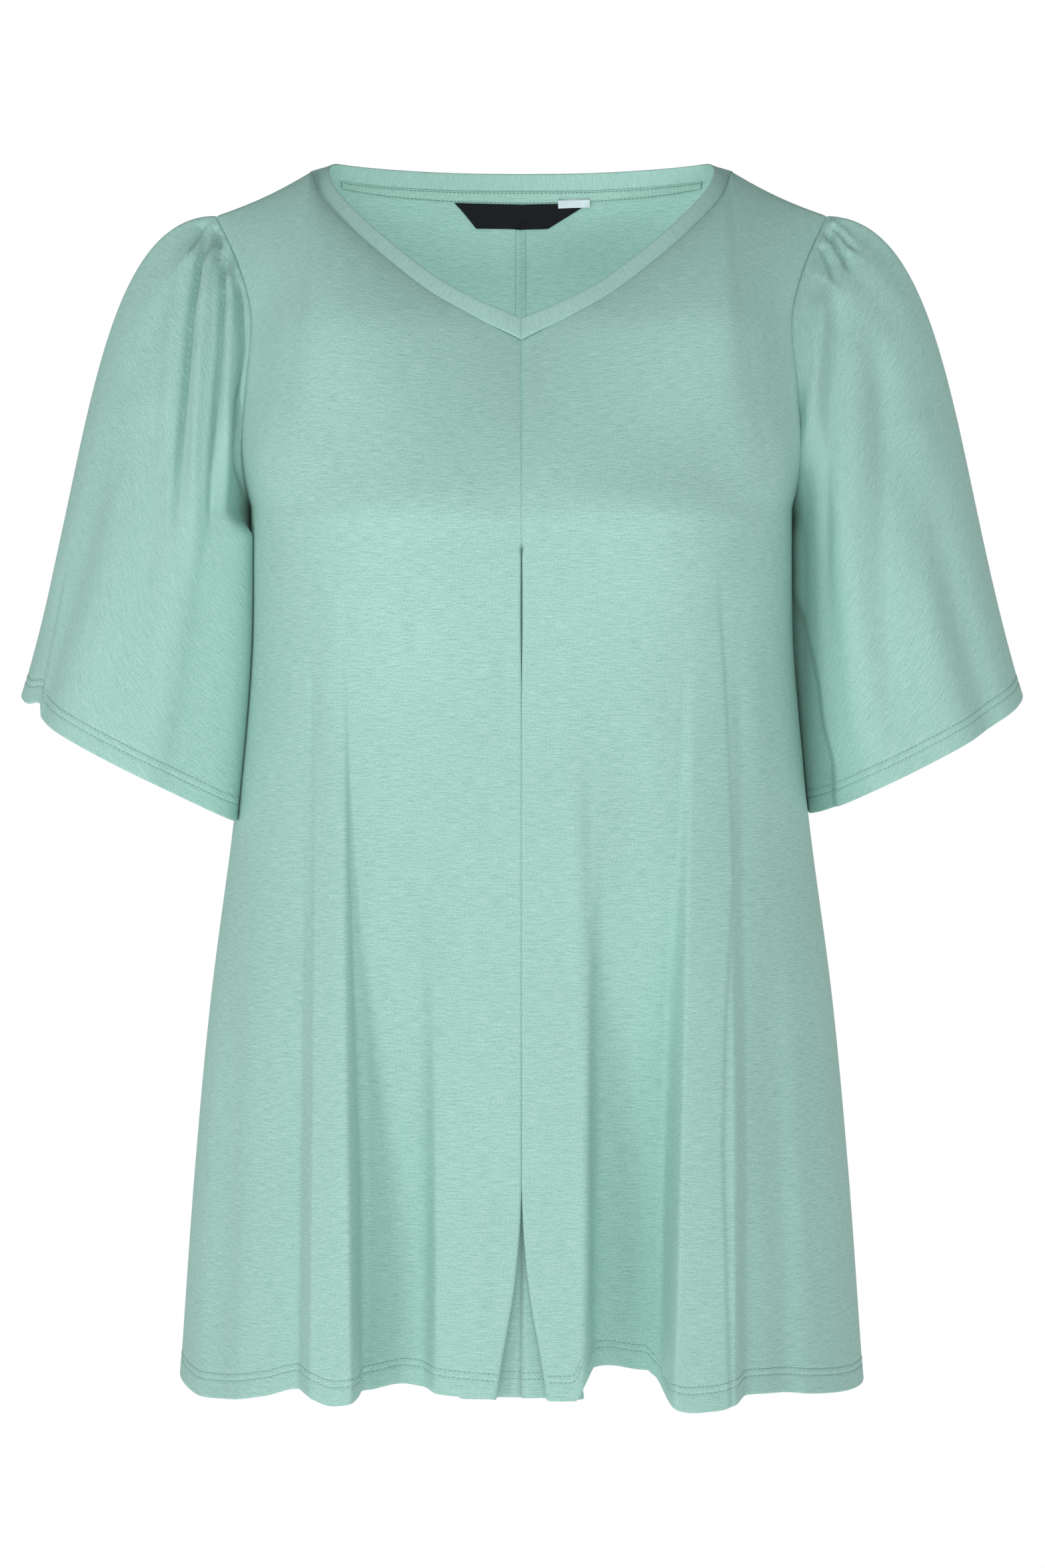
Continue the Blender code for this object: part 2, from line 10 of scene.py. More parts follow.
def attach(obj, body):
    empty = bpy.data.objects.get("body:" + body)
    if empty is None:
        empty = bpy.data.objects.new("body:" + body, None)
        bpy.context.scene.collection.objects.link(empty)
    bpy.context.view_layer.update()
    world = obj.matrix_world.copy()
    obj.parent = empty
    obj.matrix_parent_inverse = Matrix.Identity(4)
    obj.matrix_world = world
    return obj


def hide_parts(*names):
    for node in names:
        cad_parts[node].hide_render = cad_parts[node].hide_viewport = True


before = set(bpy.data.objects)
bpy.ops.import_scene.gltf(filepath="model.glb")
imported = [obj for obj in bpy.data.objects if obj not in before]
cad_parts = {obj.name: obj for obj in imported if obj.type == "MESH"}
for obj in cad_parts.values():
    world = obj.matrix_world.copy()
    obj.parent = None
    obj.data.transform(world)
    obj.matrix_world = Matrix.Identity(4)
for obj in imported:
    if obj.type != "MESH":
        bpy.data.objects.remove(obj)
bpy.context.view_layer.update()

# Fronts. Two mirrored panels of fine viscose jersey, sewn together down the centre as far as the pleat.
# Below it each panel turns back on itself and runs on behind, so that the two make an inverted box pleat.
# The hem is turned up once. All lengths are in millimetres until a mesh is made.
MM = 0.001
SHOULDER = np.array((196.0, 0.0, -37.0))
UNDERARM = np.array((173.0, 0.0, -225.0))
PLEAT_LEVEL, HEM_LEVEL, HEM_SIDE = -252.0, -780.0, 220.0
JERSEY_WALL = 0.8
HEM_TURN = 17.5
UNDERARM_ROW, PLEAT_ROW, HEM_ROW = 8, 9, 20
CENTRE_GAP, OPEN_FROM, OPEN_OVER = 0.008, -249.0, 3.0
CHEST_TOP, CHEST_HALF, BUST_EDGE, BUST_RIDGE = -108, 170, -222, 1.3
BUST_AT, BUST_REACH, BUST_RISE = (92.0, -225.0), (52.0, 62.0), 10.0


def table(kind, *rows):
    """Rows of one kind with their values named."""
    return tuple(kind(*row) for row in rows)


NeckRow = namedtuple("NeckRow", "x y z lean_x lean_y rise")
NECK_FRONT = table(NeckRow,
    (0, -95, -120.3, 0.0, 6.0, 13.0),
    (32, -90, -104.6, -4.6, 4.0, 9.0),
    (57, -82, -90.4, -5.5, 4.0, 8.2),
    (83, -70, -70.4, -6.4, 4.0, 7.4),
    (106, -55, -50.0, -7.5, 3.5, 6.6),
    (127, -30, -27.4, -8.6, 2.0, 6.2),
    (135, 0, -8.8, -8.9, 0.0, 6.9),
)
ArmRow = namedtuple("ArmRow", "share x y z")
ARM_FRONT = table(ArmRow,
    (0.0, 196, 0, -37),
    (0.2, 179, -30, -74),
    (0.4, 171, -48, -110),
    (0.6, 174, -56, -150),
    (0.8, 177, -50, -190),
    (0.92, 175, -28, -215),
    (1.0, 173, 0, -225),
)
Section = namedtuple("Section", "level side front back square")
BODY = table(Section,
    (-225, 173, 148, 114, 2.6),
    (-258, 173, 150, 115, 2.6),
    (-310, 174, 152, 113, 2.5),
    (-348, 177, 153, 112, 2.4),
    (-425, 185, 156, 112, 2.35),
    (-541, 200, 161, 116, 2.3),
    (-645, 210, 166, 121, 2.25),
    (-780, 220, 172, 128, 2.2),
    (-820, 223, 174, 130, 2.2),
)
Fold = namedtuple("Fold", "start full x_start x_hem half_start half_hem soft depth")
FRONT_FOLDS = table(Fold,
    (-290, -720, -120, -117.5, 10, 17, 8, 26),
    (-440, -750, -80, -79, 20, 21, 10, -18),
    (-400, -700, -184, -191, 6, 9, 16, -6),
    (-410, -750, 72, 64.5, 24, 23.0, 8, -33),
    (-280, -710, 119, 113, 14, 23, 8, 28),
    (-460, -700, 160, 165, 5, 8, 16, -6),
)
HemRow = namedtuple("HemRow", "x z")
HEM_FRONT = table(HemRow,
    (-221, -781), (-201, -786), (-161, -778), (-138, -771),
    (-117, -776), (-96, -772), (-75, -767), (-54, -770),
    (-14, -773), (34, -774), (42, -762), (80, -761), (90, -774),
    (118, -779), (143, -775), (165, -777), (204, -783), (221, -785),
)
PleatRow = namedtuple("PleatRow", "level opening front_room back_room")
PLEAT = table(PleatRow,
    (-252, 0.65, 1.0, 1.1),
    (-290, 0.9, 1.1, 1.2),
    (-345, 0.34, 1.1, 1.1),
    (-635, 0.3, 1.2, 1.4),
    (-700, 3.9, 1.5, 2.0),
    (-762, 14.0, 2.2, 3.4),
    (-800, 19.0, 2.4, 4.0),
)
PLEAT_RETURN = 18.0

# Soft troughs and ridges down the front, from one end to the other, with their half width and height
Crease = namedtuple("Crease", "x_top z_top x_foot z_foot half height")
FRONT_CREASES = table(Crease,
    (-28, -560, -33, -765, 8, 1.4),
    (154, -480, 158, -700, 8, -1.4),
    (-176, -400, -183, -740, 9, -1.6),
    (178, -380, 186, -730, 9, -1.4),
    (-160, -228, -108, -300, 10, -1.8),
    (-168, -180, -140, -262, 8, 1.4),
    (160, -228, 118, -300, 10, -1.6),
    (168, -176, 150, -262, 8, 1.2),
    (-152, -120, -128, -190, 12, -1.2),
    (150, -112, 130, -190, 12, -1.2),
)
Drape = namedtuple("Drape", "half height points")
FRONT_DRAPES = table(Drape,
    (9.0, 1.5, ((-119, -255), (-116, -398), (-112, -529), (-109, -640), (-108, -774), (-108, -880))),
    (24.0, -4.2, ((-78, -280), (-72, -400), (-68, -540), (-70, -700), (-72, -900))),
    (5.0, 1.4, ((30, -360), (35, -480), (37, -560), (38, -640), (40, -774), (40, -880))),
    (20.0, -3.6, ((62, -330), (66, -430), (66, -540), (66, -700), (66, -900))),
    (8.0, 1.3, ((140, -290), (147, -400), (146, -454), (139, -541), (138, -620), (144, -774))),
)
# Sharp lines where the cloth drops behind a fold and comes back slowly beyond it
Ledge = namedtuple("Ledge", "sharp slow depth points")
FRONT_LEDGES = table(Ledge,
    (1.7, 15, 1.9, ((-111, -250), (-106, -398), (-102, -529), (-98, -640), (-97, -774), (-97, -830))),
    (1.7, 12, 1.3, ((-131, -290), (-131, -450), (-131, -632), (-132, -774), (-132, -830))),
    (1.7, 12, 1.2, ((40, -360), (43, -480), (44, -560), (45, -640), (47, -774), (47, -830))),
    (1.7, 14, 1.8, ((122, -255), (129, -350), (133, -454), (127, -541), (125, -620),
                   (129, -774), (129, -830))),
)


def ease(value):
    """0 to 1 with a level start and end."""
    value = np.clip(value, 0.0, 1.0)
    return value * value * (3 - 2 * value)


def mix(first, second, share):
    return first + (second - first) * share


def read(rows, column, at):
    """A column's values at keys, the first column, on a smooth curve that is level at its peaks."""
    keys = np.array([row[0] for row in rows], float)
    values = np.array([getattr(row, column) for row in rows], float)
    if keys[0] > keys[-1]:
        keys, values = keys[::-1], values[::-1]
    steps = np.diff(values) / np.diff(keys)
    slopes = np.concatenate([steps[:1], (steps[1:] + steps[:-1]) / 2, steps[-1:]])
    slopes[1:-1][steps[1:] * steps[:-1] <= 0] = 0.0
    at = np.clip(at, keys[0], keys[-1])
    low = np.clip(np.searchsorted(keys, at, "right"), 1, len(keys) - 1) - 1
    span = keys[low + 1] - keys[low]
    t = (at - keys[low]) / span
    return hermite(values[low], values[low + 1], slopes[low] * span, slopes[low + 1] * span, t)


def hermite(start, end, leave, reach, t):
    """A value on the smooth curve from start to end with these slopes at its ends."""
    return (
        start * (1 + 2 * t) * (1 - t) ** 2 + end * t * t * (3 - 2 * t)
        + leave * t * (1 - t) ** 2 - reach * t * t * (1 - t)
    )


def running(line):
    """The distance along a line of points at each of them."""
    return np.concatenate([[0], np.cumsum(np.linalg.norm(np.diff(line, axis=0), axis=1))])


def pick(at, way, line):
    """The line's values at distances along it, in a last axis."""
    return np.stack([np.interp(at, way, column) for column in line.T], -1)


def smooth_line(rows, steps=16):
    """Many points on one smooth curve through the rows, and the share of the way at each."""
    points = np.array(rows, float)
    slopes = np.gradient(points, axis=0)
    line = [points[0]]
    for i in range(len(points) - 1):
        for t in np.linspace(0, 1, steps + 1)[1:]:
            line.append(hermite(points[i], points[i + 1], slopes[i], slopes[i + 1], t))
    line = np.array(line)
    way = running(line[:, :3])
    return line, way / way[-1]


def along(line, share):
    """The curve's values at shares of the way along it."""
    points, way = line
    return pick(share, way, points)


def body_depth(part, x, level):
    """How far the body's level section lies in front of or behind the side seam."""
    square = read(BODY, "square", level)
    rest = np.clip(1 - (np.abs(x) / read(BODY, "side", level)) ** square, 0, 1)
    return read(BODY, part, level) * rest ** (1 / square)


def fold_push(folds, x, level):
    """How far out the hanging folds carry the cloth."""
    push = 0.0
    for fold in folds:
        grown = ease((fold.start - level) / (fold.start - fold.full))
        share = np.clip((fold.start - level) / (fold.start - HEM_LEVEL), 0, 1)
        centre = mix(fold.x_start, fold.x_hem, share)
        half = mix(fold.half_start, fold.half_hem, share)
        push = push + fold.depth * grown * (1 - ease((np.abs(x - centre) - half) / fold.soft + 0.5))
    return push


def bust_push(x, level):
    across = (np.abs(x) - BUST_AT[0]) / BUST_REACH[0]
    down = (level - BUST_AT[1]) / BUST_REACH[1]
    return BUST_RISE * np.exp(-across * across - down * down)


def near_run(start, end, across, level):
    """How far places lie from a straight run, and the share of the way along it."""
    run = np.array(end, float) - start
    t = np.clip(((across - start[0]) * run[0] + (level - start[1]) * run[1]) / (run @ run), 0, 1)
    return np.hypot(across - start[0] - run[0] * t, level - start[1] - run[1] * t), t


def drape_height(drapes, across, level):
    """The height of folds drawn as bent lines across and up the garment, fading at both ends."""
    total = 0.0
    for half, height, points in drapes:
        way = running(np.array(points, float))
        nearest, share = 1e9, 0.0
        for start, end, gone, there in zip(points, points[1:], way, way[1:]):
            away, t = near_run(start, end, across, level)
            share = np.where(away < nearest, mix(gone, there, t) / way[-1], share)
            nearest = np.minimum(nearest, away)
        fade = ease(share / 0.12) * ease((1 - share) / 0.4)
        total = total + height * np.exp(-((nearest / half) ** 2)) * fade
    return total


def line_x(points, level):
    """How far across a falling line lies at levels."""
    return np.interp(-level, [-z for _, z in points], [x for x, _ in points])


def ledge_height(ledges, across, level):
    """The drop at the right of each sharp fold line, fading at both ends."""
    total = 0.0
    for sharp, slow, depth, points in ledges:
        past = across - line_x(points, level)
        drop = np.exp(np.where(past < 0, -((past / sharp) ** 2), -past / slow))
        fade = ease((points[0][1] - level) / 70) * ease((level - points[-1][1]) / 60)
        total = total - depth * drop * fade
    return total


def bust_line(across, level):
    """Straightens the chest's slope, so that it turns at a soft edge along the bust and hangs from there."""
    edge = BUST_EDGE - 9 * np.exp(-((across / 34) ** 2)) + 0.0007 * (np.abs(across) - 95) ** 2
    hollow = 0.0
    for blur in (-0.05, 0.0, 0.05):
        down = np.clip((level - CHEST_TOP) / (edge - CHEST_TOP) + blur, 0, 1)
        hollow = hollow + (np.sin(down * math.pi / 2) - down) / 0.63
    wide = ease((CHEST_HALF - np.abs(across)) / 55) * (1 - 0.3 * np.exp(-((across / 26) ** 2)))
    deep = 7.5 + 2.5 * ease(across / 90)
    return wide * (BUST_RIDGE * np.exp(-(((level - edge + 9) / 10) ** 2)) - deep * hollow)


def crease_height(creases, across, level):
    """The height of the creases, each fading out towards both of its ends."""
    total = 0.0
    for x_top, z_top, x_foot, z_foot, half, height in creases:
        away, t = near_run((x_top, z_top), (x_foot, z_foot), across, level)
        fade = np.sin(math.pi * np.clip(t, 0.001, 0.999)) ** 0.7
        total = total + height * np.exp(-((away / half) ** 2)) * fade
    return total


Cut = namedtuple("Cut", "part last neck_column crowd neck arm rounding folds hem creases shoulder_dip")
FRONT_CUT = Cut("front", 34, 24, (0.33, 0.17, 1.3), smooth_line(NECK_FRONT), ARM_FRONT,
                (1.0, 0.5, 0.5), FRONT_FOLDS, HEM_FRONT, FRONT_CREASES, 0.6)


def crowd_in(share, fine, density):
    """Shares of the way, moved closer together where the density is high."""
    total = np.concatenate([[0], np.cumsum((density[1:] + density[:-1]) / 2)])
    return np.interp(share * total[-1], total, fine)


def crowded(share, crowd):
    """Shares of the way from the centre to the side, closer together where the folds are."""
    middle, half, extra = crowd
    fine = np.linspace(0, 1, 400)
    density = 1 + extra * np.exp(-(((fine - middle) / half) ** 2))
    return np.sin(crowd_in(share, fine, density) * math.pi / 2)


def skirt_points(cut, side, across, level, start):
    """Points below the underarm; across runs from the centre, start, to the side seam."""
    reach = read(BODY, "side", level)
    out = HEM_SIDE * across - (HEM_SIDE - reach) * across ** 4
    x = side * (start + (1 - start / reach) * out)
    depth = body_depth(cut.part, x, level)
    depth = depth + fold_push(cut.folds, x, level) * ease((1 - np.abs(x) / reach) * 12)
    if cut.part == "front":
        return np.stack([x, -depth - bust_push(x, level), level + x * 0], -1)
    return np.stack([x, depth, level + x * 0], -1)


def skirt_level(rows, hem):
    """The level of the rows below the pleat's top, a little closer together lower down."""
    return mix(PLEAT_LEVEL, hem, np.clip((rows - PLEAT_ROW) / (HEM_ROW - PLEAT_ROW), 0, 1) ** 0.92)


def panel_grid(cut, side, columns, rows, start_of):
    """A panel's face at columns from the centre to the side and rows from the neck to the hem."""
    c, r = columns[None, :], rows[:, None]
    share = crowded(c / cut.last, cut.crowd)
    down = np.clip(r / UNDERARM_ROW, 0, 1) ** 1.2
    neck = along(cut.neck, np.clip(columns / cut.neck_column, 0, 1))[:, :3]
    out = np.clip((columns - cut.neck_column) / (cut.last - cut.neck_column), 0, 1)[:, None]
    sag = np.array((0, 0, -2.0)) * np.sin(math.pi * out)
    top = mix(neck, SHOULDER, out) + sag * (out > 0)
    low = skirt_points(cut, 1, share, UNDERARM[2] + share * 0, 0.0)
    arm = np.stack([read(cut.arm, axis, down[:, 0]) for axis in "xyz"], -1)[:, None, :]
    straight = mix(SHOULDER, UNDERARM, down)[:, None, :]
    edge = (c / cut.last)[..., None] ** 3
    yoke = mix(top[None], low, down[..., None]) + (arm - straight) * edge
    centre, neck_point, tip = cut.rounding
    inner = np.clip(1 - c / cut.neck_column, 0, 1)
    power = mix(mix(neck_point, centre, inner ** 0.8), tip, out.T)
    arc = np.sin(down * math.pi / 2) ** power
    yoke[..., 1] = mix(top[None, :, 1], low[..., 1], arc) + arm[..., 1] * edge[..., 0]
    yoke[..., 0] += CENTRE_GAP * (1 - c / cut.last) ** 4
    yoke[..., 0] *= side
    hem = read(cut.hem, "z", side * mix(start_of(HEM_LEVEL), HEM_SIDE, share))
    short = mix(UNDERARM[2], PLEAT_LEVEL, np.clip(r - UNDERARM_ROW, 0, 1))
    level = np.where(r < PLEAT_ROW, short, skirt_level(r, hem))
    skirt = skirt_points(cut, side, share, level, start_of(level))
    return np.where((r <= UNDERARM_ROW)[..., None], yoke, skirt)


def normals_of(points, sign):
    """The outward normal at each point of a grid of rows and columns."""
    out = np.cross(np.gradient(points, axis=0), np.gradient(points, axis=1)) * sign
    return out / np.maximum(np.linalg.norm(out, axis=-1, keepdims=True), 1e-9)


def lengths(points, axis):
    """Distance along each row or column of a grid from its first point."""
    steps = np.linalg.norm(np.diff(points, axis=axis), axis=-1)
    start = np.zeros_like(np.take(steps, [0], axis=axis))
    return np.concatenate([start, np.cumsum(steps, axis=axis)], axis=axis)


def above_hem(points, out, distance):
    """The line of points a distance above the hem, and the outward normals there."""
    from_hem = lengths(points[::-1], 0)
    line, lean = (
        np.array([pick(distance, from_hem[:, j], grid[::-1, j]) for j in range(grid.shape[1])])
        for grid in (points, out)
    )
    return line, lean / np.linalg.norm(lean, axis=1, keepdims=True)


def turn_up(points, out, turn):
    """Adds the rows of a hem that is turned up once inside."""
    rows = [points]
    low = points[-1] - points[-2]
    low /= np.linalg.norm(low, axis=1, keepdims=True)
    for angle in (0.2, 0.4, 0.6, 0.8):
        inset = 0.55 * (1 - math.cos(angle * math.pi))
        rows.append((points[-1] - out[-1] * inset + low * 0.55 * math.sin(angle * math.pi))[None])
    for distance in np.linspace(0.2, turn, 7):
        line, lean = above_hem(points, out, distance)
        rows.append((line - lean * 1.1)[None])
    return np.concatenate(rows)


def placed(name, data, location=(0, 0, 0)):
    """A new object that holds the data, linked into the scene."""
    made = bpy.data.objects.new(name, data)
    made.location = location
    bpy.context.collection.objects.link(made)
    return made


def mesh_object(name, bm):
    """A new object with the mesh built so far, which is then freed."""
    mesh = bpy.data.meshes.new(name)
    bm.to_mesh(mesh)
    bm.free()
    return placed(name, mesh)


def cloth_object(name, material, points, across=None, down=None, keep=None, flip=False, ring=False,
                 wall=JERSEY_WALL):
    """A sheet of cloth with its wall, from a grid of points, and the UV map of its cut in metres."""
    across = lengths(points, 1) if across is None else across
    down = lengths(points, 0) if down is None else down
    rows, columns = points.shape[:2]
    bm = bmesh.new()
    bmesh.ops.create_grid(bm, x_segments=columns - 1, y_segments=rows - 1, size=1.0)
    cut_map = bm.loops.layers.uv.new("cut")
    spots = {
        vert: (round((1 - vert.co.y) / 2 * (rows - 1)), round((vert.co.x + 1) / 2 * (columns - 1)))
        for vert in bm.verts
    }
    for face in bm.faces:
        for loop in face.loops:
            spot = spots[loop.vert]
            loop[cut_map].uv = (across[spot] * MM, -down[spot] * MM)
    if keep is not None:
        gone = [face for face in bm.faces if not all(keep[spots[vert]] for vert in face.verts)]
        bmesh.ops.delete(bm, geom=gone, context="FACES")
    for vert in bm.verts:
        vert.co = points[spots[vert]] * MM
    if ring:
        bmesh.ops.remove_doubles(bm, verts=bm.verts, dist=0.00002)
    if flip:
        bmesh.ops.reverse_faces(bm, faces=bm.faces)
    made = mesh_object(name, bm)
    made.data.shade_smooth()
    made.data.materials.append(material)
    thickness = made.modifiers.new("Wall", "SOLIDIFY")
    thickness.thickness = wall * MM
    thickness.offset = 0.0
    return made


def new_group(name, inputs, outputs):
    """A shader node group with named sockets, and its input and output nodes."""
    group = bpy.data.node_groups.new(name, "ShaderNodeTree")
    for way, sockets in (("INPUT", inputs), ("OUTPUT", outputs)):
        for label, kind in sockets:
            group.interface.new_socket(name=label, in_out=way, socket_type="NodeSocket" + kind)
    return group, group.nodes.new("NodeGroupInput"), group.nodes.new("NodeGroupOutput")


def add_node(tree, kind, values=(), **settings):
    """A node with its settings, and its inputs set from values or linked from sockets."""
    node = tree.nodes.new(kind)
    for key, value in settings.items():
        setattr(node, key, value)
    for key, value in dict(values).items():
        if isinstance(value, bpy.types.NodeSocket):
            tree.links.new(value, node.inputs[key])
        else:
            node.inputs[key].default_value = value
    return node


def math_node(tree, operation, *values):
    return add_node(tree, "ShaderNodeMath", enumerate(values), operation=operation).outputs[0]


def noise(tree, place, scale, detail=2.0, roughness=0.5):
    values = {"Vector": place, "Scale": scale, "Detail": detail, "Roughness": roughness}
    return add_node(tree, "ShaderNodeTexNoise", values).outputs["Fac"]


def stretched_noise(tree, place, scales, detail, roughness=0.5):
    """Noise with a scale of its own across the cut and down it."""
    spread = add_node(tree, "ShaderNodeMapping", {"Vector": place, "Scale": (*scales, 1.0)})
    return noise(tree, spread.outputs[0], 1.0, detail, roughness)


def mix_colours(tree, share, first, second):
    return add_node(tree, "ShaderNodeMix", {0: share, 6: first, 7: second}, data_type="RGBA").outputs[2]


def new_material(name):
    """A material, its node tree and its shader."""
    material = bpy.data.materials.new(name)
    material.use_nodes = True
    return material, material.node_tree, material.node_tree.nodes["Principled BSDF"]


def link_shader(tree, shader, colour, roughness, height, strength, distance):
    """Puts colour, roughness and relief on the shader."""
    raised = add_node(tree, "ShaderNodeBump", {"Height": height, "Strength": strength, "Distance": distance})
    for label, socket in (("Base Color", colour), ("Roughness", roughness), ("Normal", raised.outputs[0])):
        tree.links.new(socket, shader.inputs[label])


# Knit loops: wales run down the cloth and courses across it, each loop a small V
knit, knit_in, knit_out = new_group(
    "knit_loops",
    (("Cut", "Vector"), ("Wale", "Float"), ("Course", "Float")),
    (("Height", "Float"), ("Hollow", "Float")),
)
place = add_node(knit, "ShaderNodeSeparateXYZ", {"Vector": knit_in.outputs["Cut"]})
wobble = math_node(knit, "SUBTRACT", noise(knit, knit_in.outputs["Cut"], 220.0), 0.5)
u = math_node(knit, "ADD", place.outputs["X"], math_node(knit, "MULTIPLY", wobble, 0.0016))
u = math_node(knit, "DIVIDE", u, knit_in.outputs["Wale"])
side_of_wale = math_node(knit, "MULTIPLY", math_node(knit, "PINGPONG", u, 0.5), 2.0)
v = math_node(knit, "DIVIDE", place.outputs["Y"], knit_in.outputs["Course"])
v = math_node(knit, "MULTIPLY_ADD", side_of_wale, 0.6, v)
in_course = math_node(knit, "MULTIPLY", math_node(knit, "PINGPONG", v, 0.5), 2.0)
rounded = math_node(knit, "SUBTRACT", 1.0, math_node(knit, "POWER", side_of_wale, 2.0))
loop_height = math_node(knit, "MULTIPLY", rounded, math_node(knit, "MULTIPLY_ADD", in_course, 0.35, 0.65))
knit.links.new(loop_height, knit_out.inputs["Height"])
# The Hollow output marks the low places between the loops, where the jersey paints shade into its colour
knit.links.new(math_node(knit, "SUBTRACT", 1.0, loop_height), knit_out.inputs["Hollow"])

# Melange: short lighter and darker fibres that lie along the courses, and a slow change of tone
melange, melange_in, melange_out = new_group(
    "melange_yarn",
    (("Cut", "Vector"), ("Colour", "Color"), ("Light", "Color"),
     ("Dark", "Color"), ("Amount", "Float")),
    (("Colour", "Color"), ("Fleck", "Float")),
)
cut, flecked = melange_in.outputs["Cut"], melange_in.outputs["Colour"]
streaks = math_node(melange, "MULTIPLY", stretched_noise(melange, cut, (110.0, 1350.0), 4.0, 0.62), 0.55)
fleck = math_node(melange, "MULTIPLY_ADD", noise(melange, cut, 900.0, 2.0, 0.6), 0.45, streaks)
for tint, full in (("Light", 0.68), ("Dark", 0.33)):
    reach = add_node(melange, "ShaderNodeMapRange", {"Value": fleck, "From Min": 0.5, "From Max": full})
    share = math_node(melange, "MULTIPLY", reach.outputs[0], melange_in.outputs["Amount"])
    flecked = mix_colours(melange, share, flecked, melange_in.outputs[tint])
tone = math_node(melange, "MULTIPLY_ADD", noise(melange, cut, 9.0, 3.0), 0.10, 0.89)
tone = math_node(melange, "MULTIPLY_ADD", stretched_noise(melange, cut, (26.0, 420.0), 3.0), 0.12, tone)
toned = add_node(melange, "ShaderNodeHueSaturation", {"Value": tone, "Color": flecked})
melange.links.new(toned.outputs[0], melange_out.inputs["Colour"])
melange.links.new(fleck, melange_out.inputs["Fleck"])


def jersey_material(name, colour, light, dark, turned=False, wale=0.00068, bump=0.36):
    """Melange jersey: knit loops in relief with painted shade in their hollows, flecked yarn and a soft nap.
    """
    material, tree, shader = new_material(name)
    cut = add_node(tree, "ShaderNodeUVMap", uv_map="cut").outputs[0]
    if turned:
        cut = add_node(tree, "ShaderNodeMapping", {"Vector": cut, "Rotation": (0, 0, math.pi / 2)}).outputs[0]
    loops = add_node(tree, "ShaderNodeGroup", {"Cut": cut, "Wale": wale, "Course": wale * 0.8},
                     node_tree=knit)
    tints = {"Colour": (*colour, 1), "Light": (*light, 1), "Dark": (*dark, 1)}
    yarn = add_node(tree, "ShaderNodeGroup", {"Cut": cut, "Amount": 0.85, **tints}, node_tree=melange)
    # Painted shade: the hollows between the knit loops are darkened towards the dark yarn colour
    shade = math_node(tree, "MULTIPLY", loops.outputs["Hollow"], 0.16)
    link_shader(
        tree, shader, mix_colours(tree, shade, yarn.outputs["Colour"], (*dark, 1)),
        math_node(tree, "MULTIPLY_ADD", yarn.outputs["Fleck"], -0.2, 0.9),
        math_node(tree, "MULTIPLY_ADD", yarn.outputs["Fleck"], 0.5, loops.outputs["Height"]), bump, 0.00012)
    shader.inputs["Specular IOR Level"].default_value = 0.25
    shader.inputs["Sheen Weight"].default_value = 0.14
    shader.inputs["Sheen Roughness"].default_value = 0.45
    shader.inputs["Sheen Tint"].default_value = (0.78, 0.95, 0.9, 1)
    return material


jersey = jersey_material("jersey", (0.357, 0.592, 0.528), (0.50, 0.735, 0.665), (0.215, 0.43, 0.375))


def front_start(level):
    """Where the front's face begins beside the centre line."""
    opened = read(PLEAT, "opening", level) + read(PLEAT, "front_room", level)
    return mix(CENTRE_GAP, opened, ease((OPEN_FROM - level) / OPEN_OVER))


PLEAT_LEGS = ([("underlay", t) for t in np.linspace(0, 1, 8)[:-1]]
              + [("back bend", t) for t in np.linspace(0, 1, 6)[:-1]]
              + [("return", t) for t in np.linspace(0, 1, 8)[:-1]]
              + [("front bend", t) for t in np.linspace(0, 1, 7)[:-1]])


def pleat_grid(side, rows):
    """The pleat's layers behind the face, from the underlay's centre seam to the rolled front edge."""
    hem = read(HEM_FRONT, "z", side * 10.0)
    level = skirt_level(rows, hem)
    opening, front_bend, back_bend = (
        read(PLEAT, name, level) for name in ("opening", "front_room", "back_room"))
    near, far, deep = opening + front_bend, opening + PLEAT_RETURN, 2 * (front_bend + back_bend)
    lines = []
    for leg, t in PLEAT_LEGS:
        turn = math.pi * t
        if leg == "underlay":
            gap, behind = mix(0.01, far, t), deep
        elif leg == "back bend":
            gap, behind = far + back_bend * math.sin(turn), deep - back_bend * (1 - math.cos(turn))
        elif leg == "return":
            gap, behind = mix(far, near, t), 2 * front_bend
        else:
            gap, behind = near - front_bend * math.sin(turn), front_bend * (1 + math.cos(turn))
        y = -body_depth("front", gap, level) - fold_push(FRONT_FOLDS, side * gap, level)
        lines.append(np.stack([side * gap, y + behind - bust_push(gap, level), level], -1))
    return np.stack(lines, 1)


def seam_roll(distance, depth=1.0, width=0.9):
    """How far cloth dips into a seam, by distance from it."""
    return -depth * np.exp(-((distance / width) ** 2))


def hem_relief(from_hem, upper, lower):
    """The two needle rows' dents, and the doubled cloth below them."""
    dents = np.exp(-(((from_hem - upper) / 0.8) ** 2)) + np.exp(-(((from_hem - lower) / 0.8) ** 2))
    return 0.25 * ease((upper + 1.2 - from_hem) / 1.6) - 0.5 * dents


fine_rows = np.concatenate([[0.0, 0.1, 0.2, 0.36], np.linspace(0.5, 8, 46), np.linspace(8.125, 9, 8)])
skirt_rows = np.concatenate([np.linspace(9, 19.6, 117)[1:], np.linspace(19.6, 20, 30)[1:]])
panel_rows = np.concatenate([fine_rows, skirt_rows])
first_skirt = len(fine_rows) - 1
first_below_arm = first_skirt - 8
front_columns = np.concatenate([
    [0.0, 0.06, 0.14, 0.28, 0.5], np.linspace(0.75, 33.25, 131), [33.5, 33.7, 33.84, 33.93, 34.0],
])
PANEL_NEEDLES = (15.0, 10.7)
panels = {}


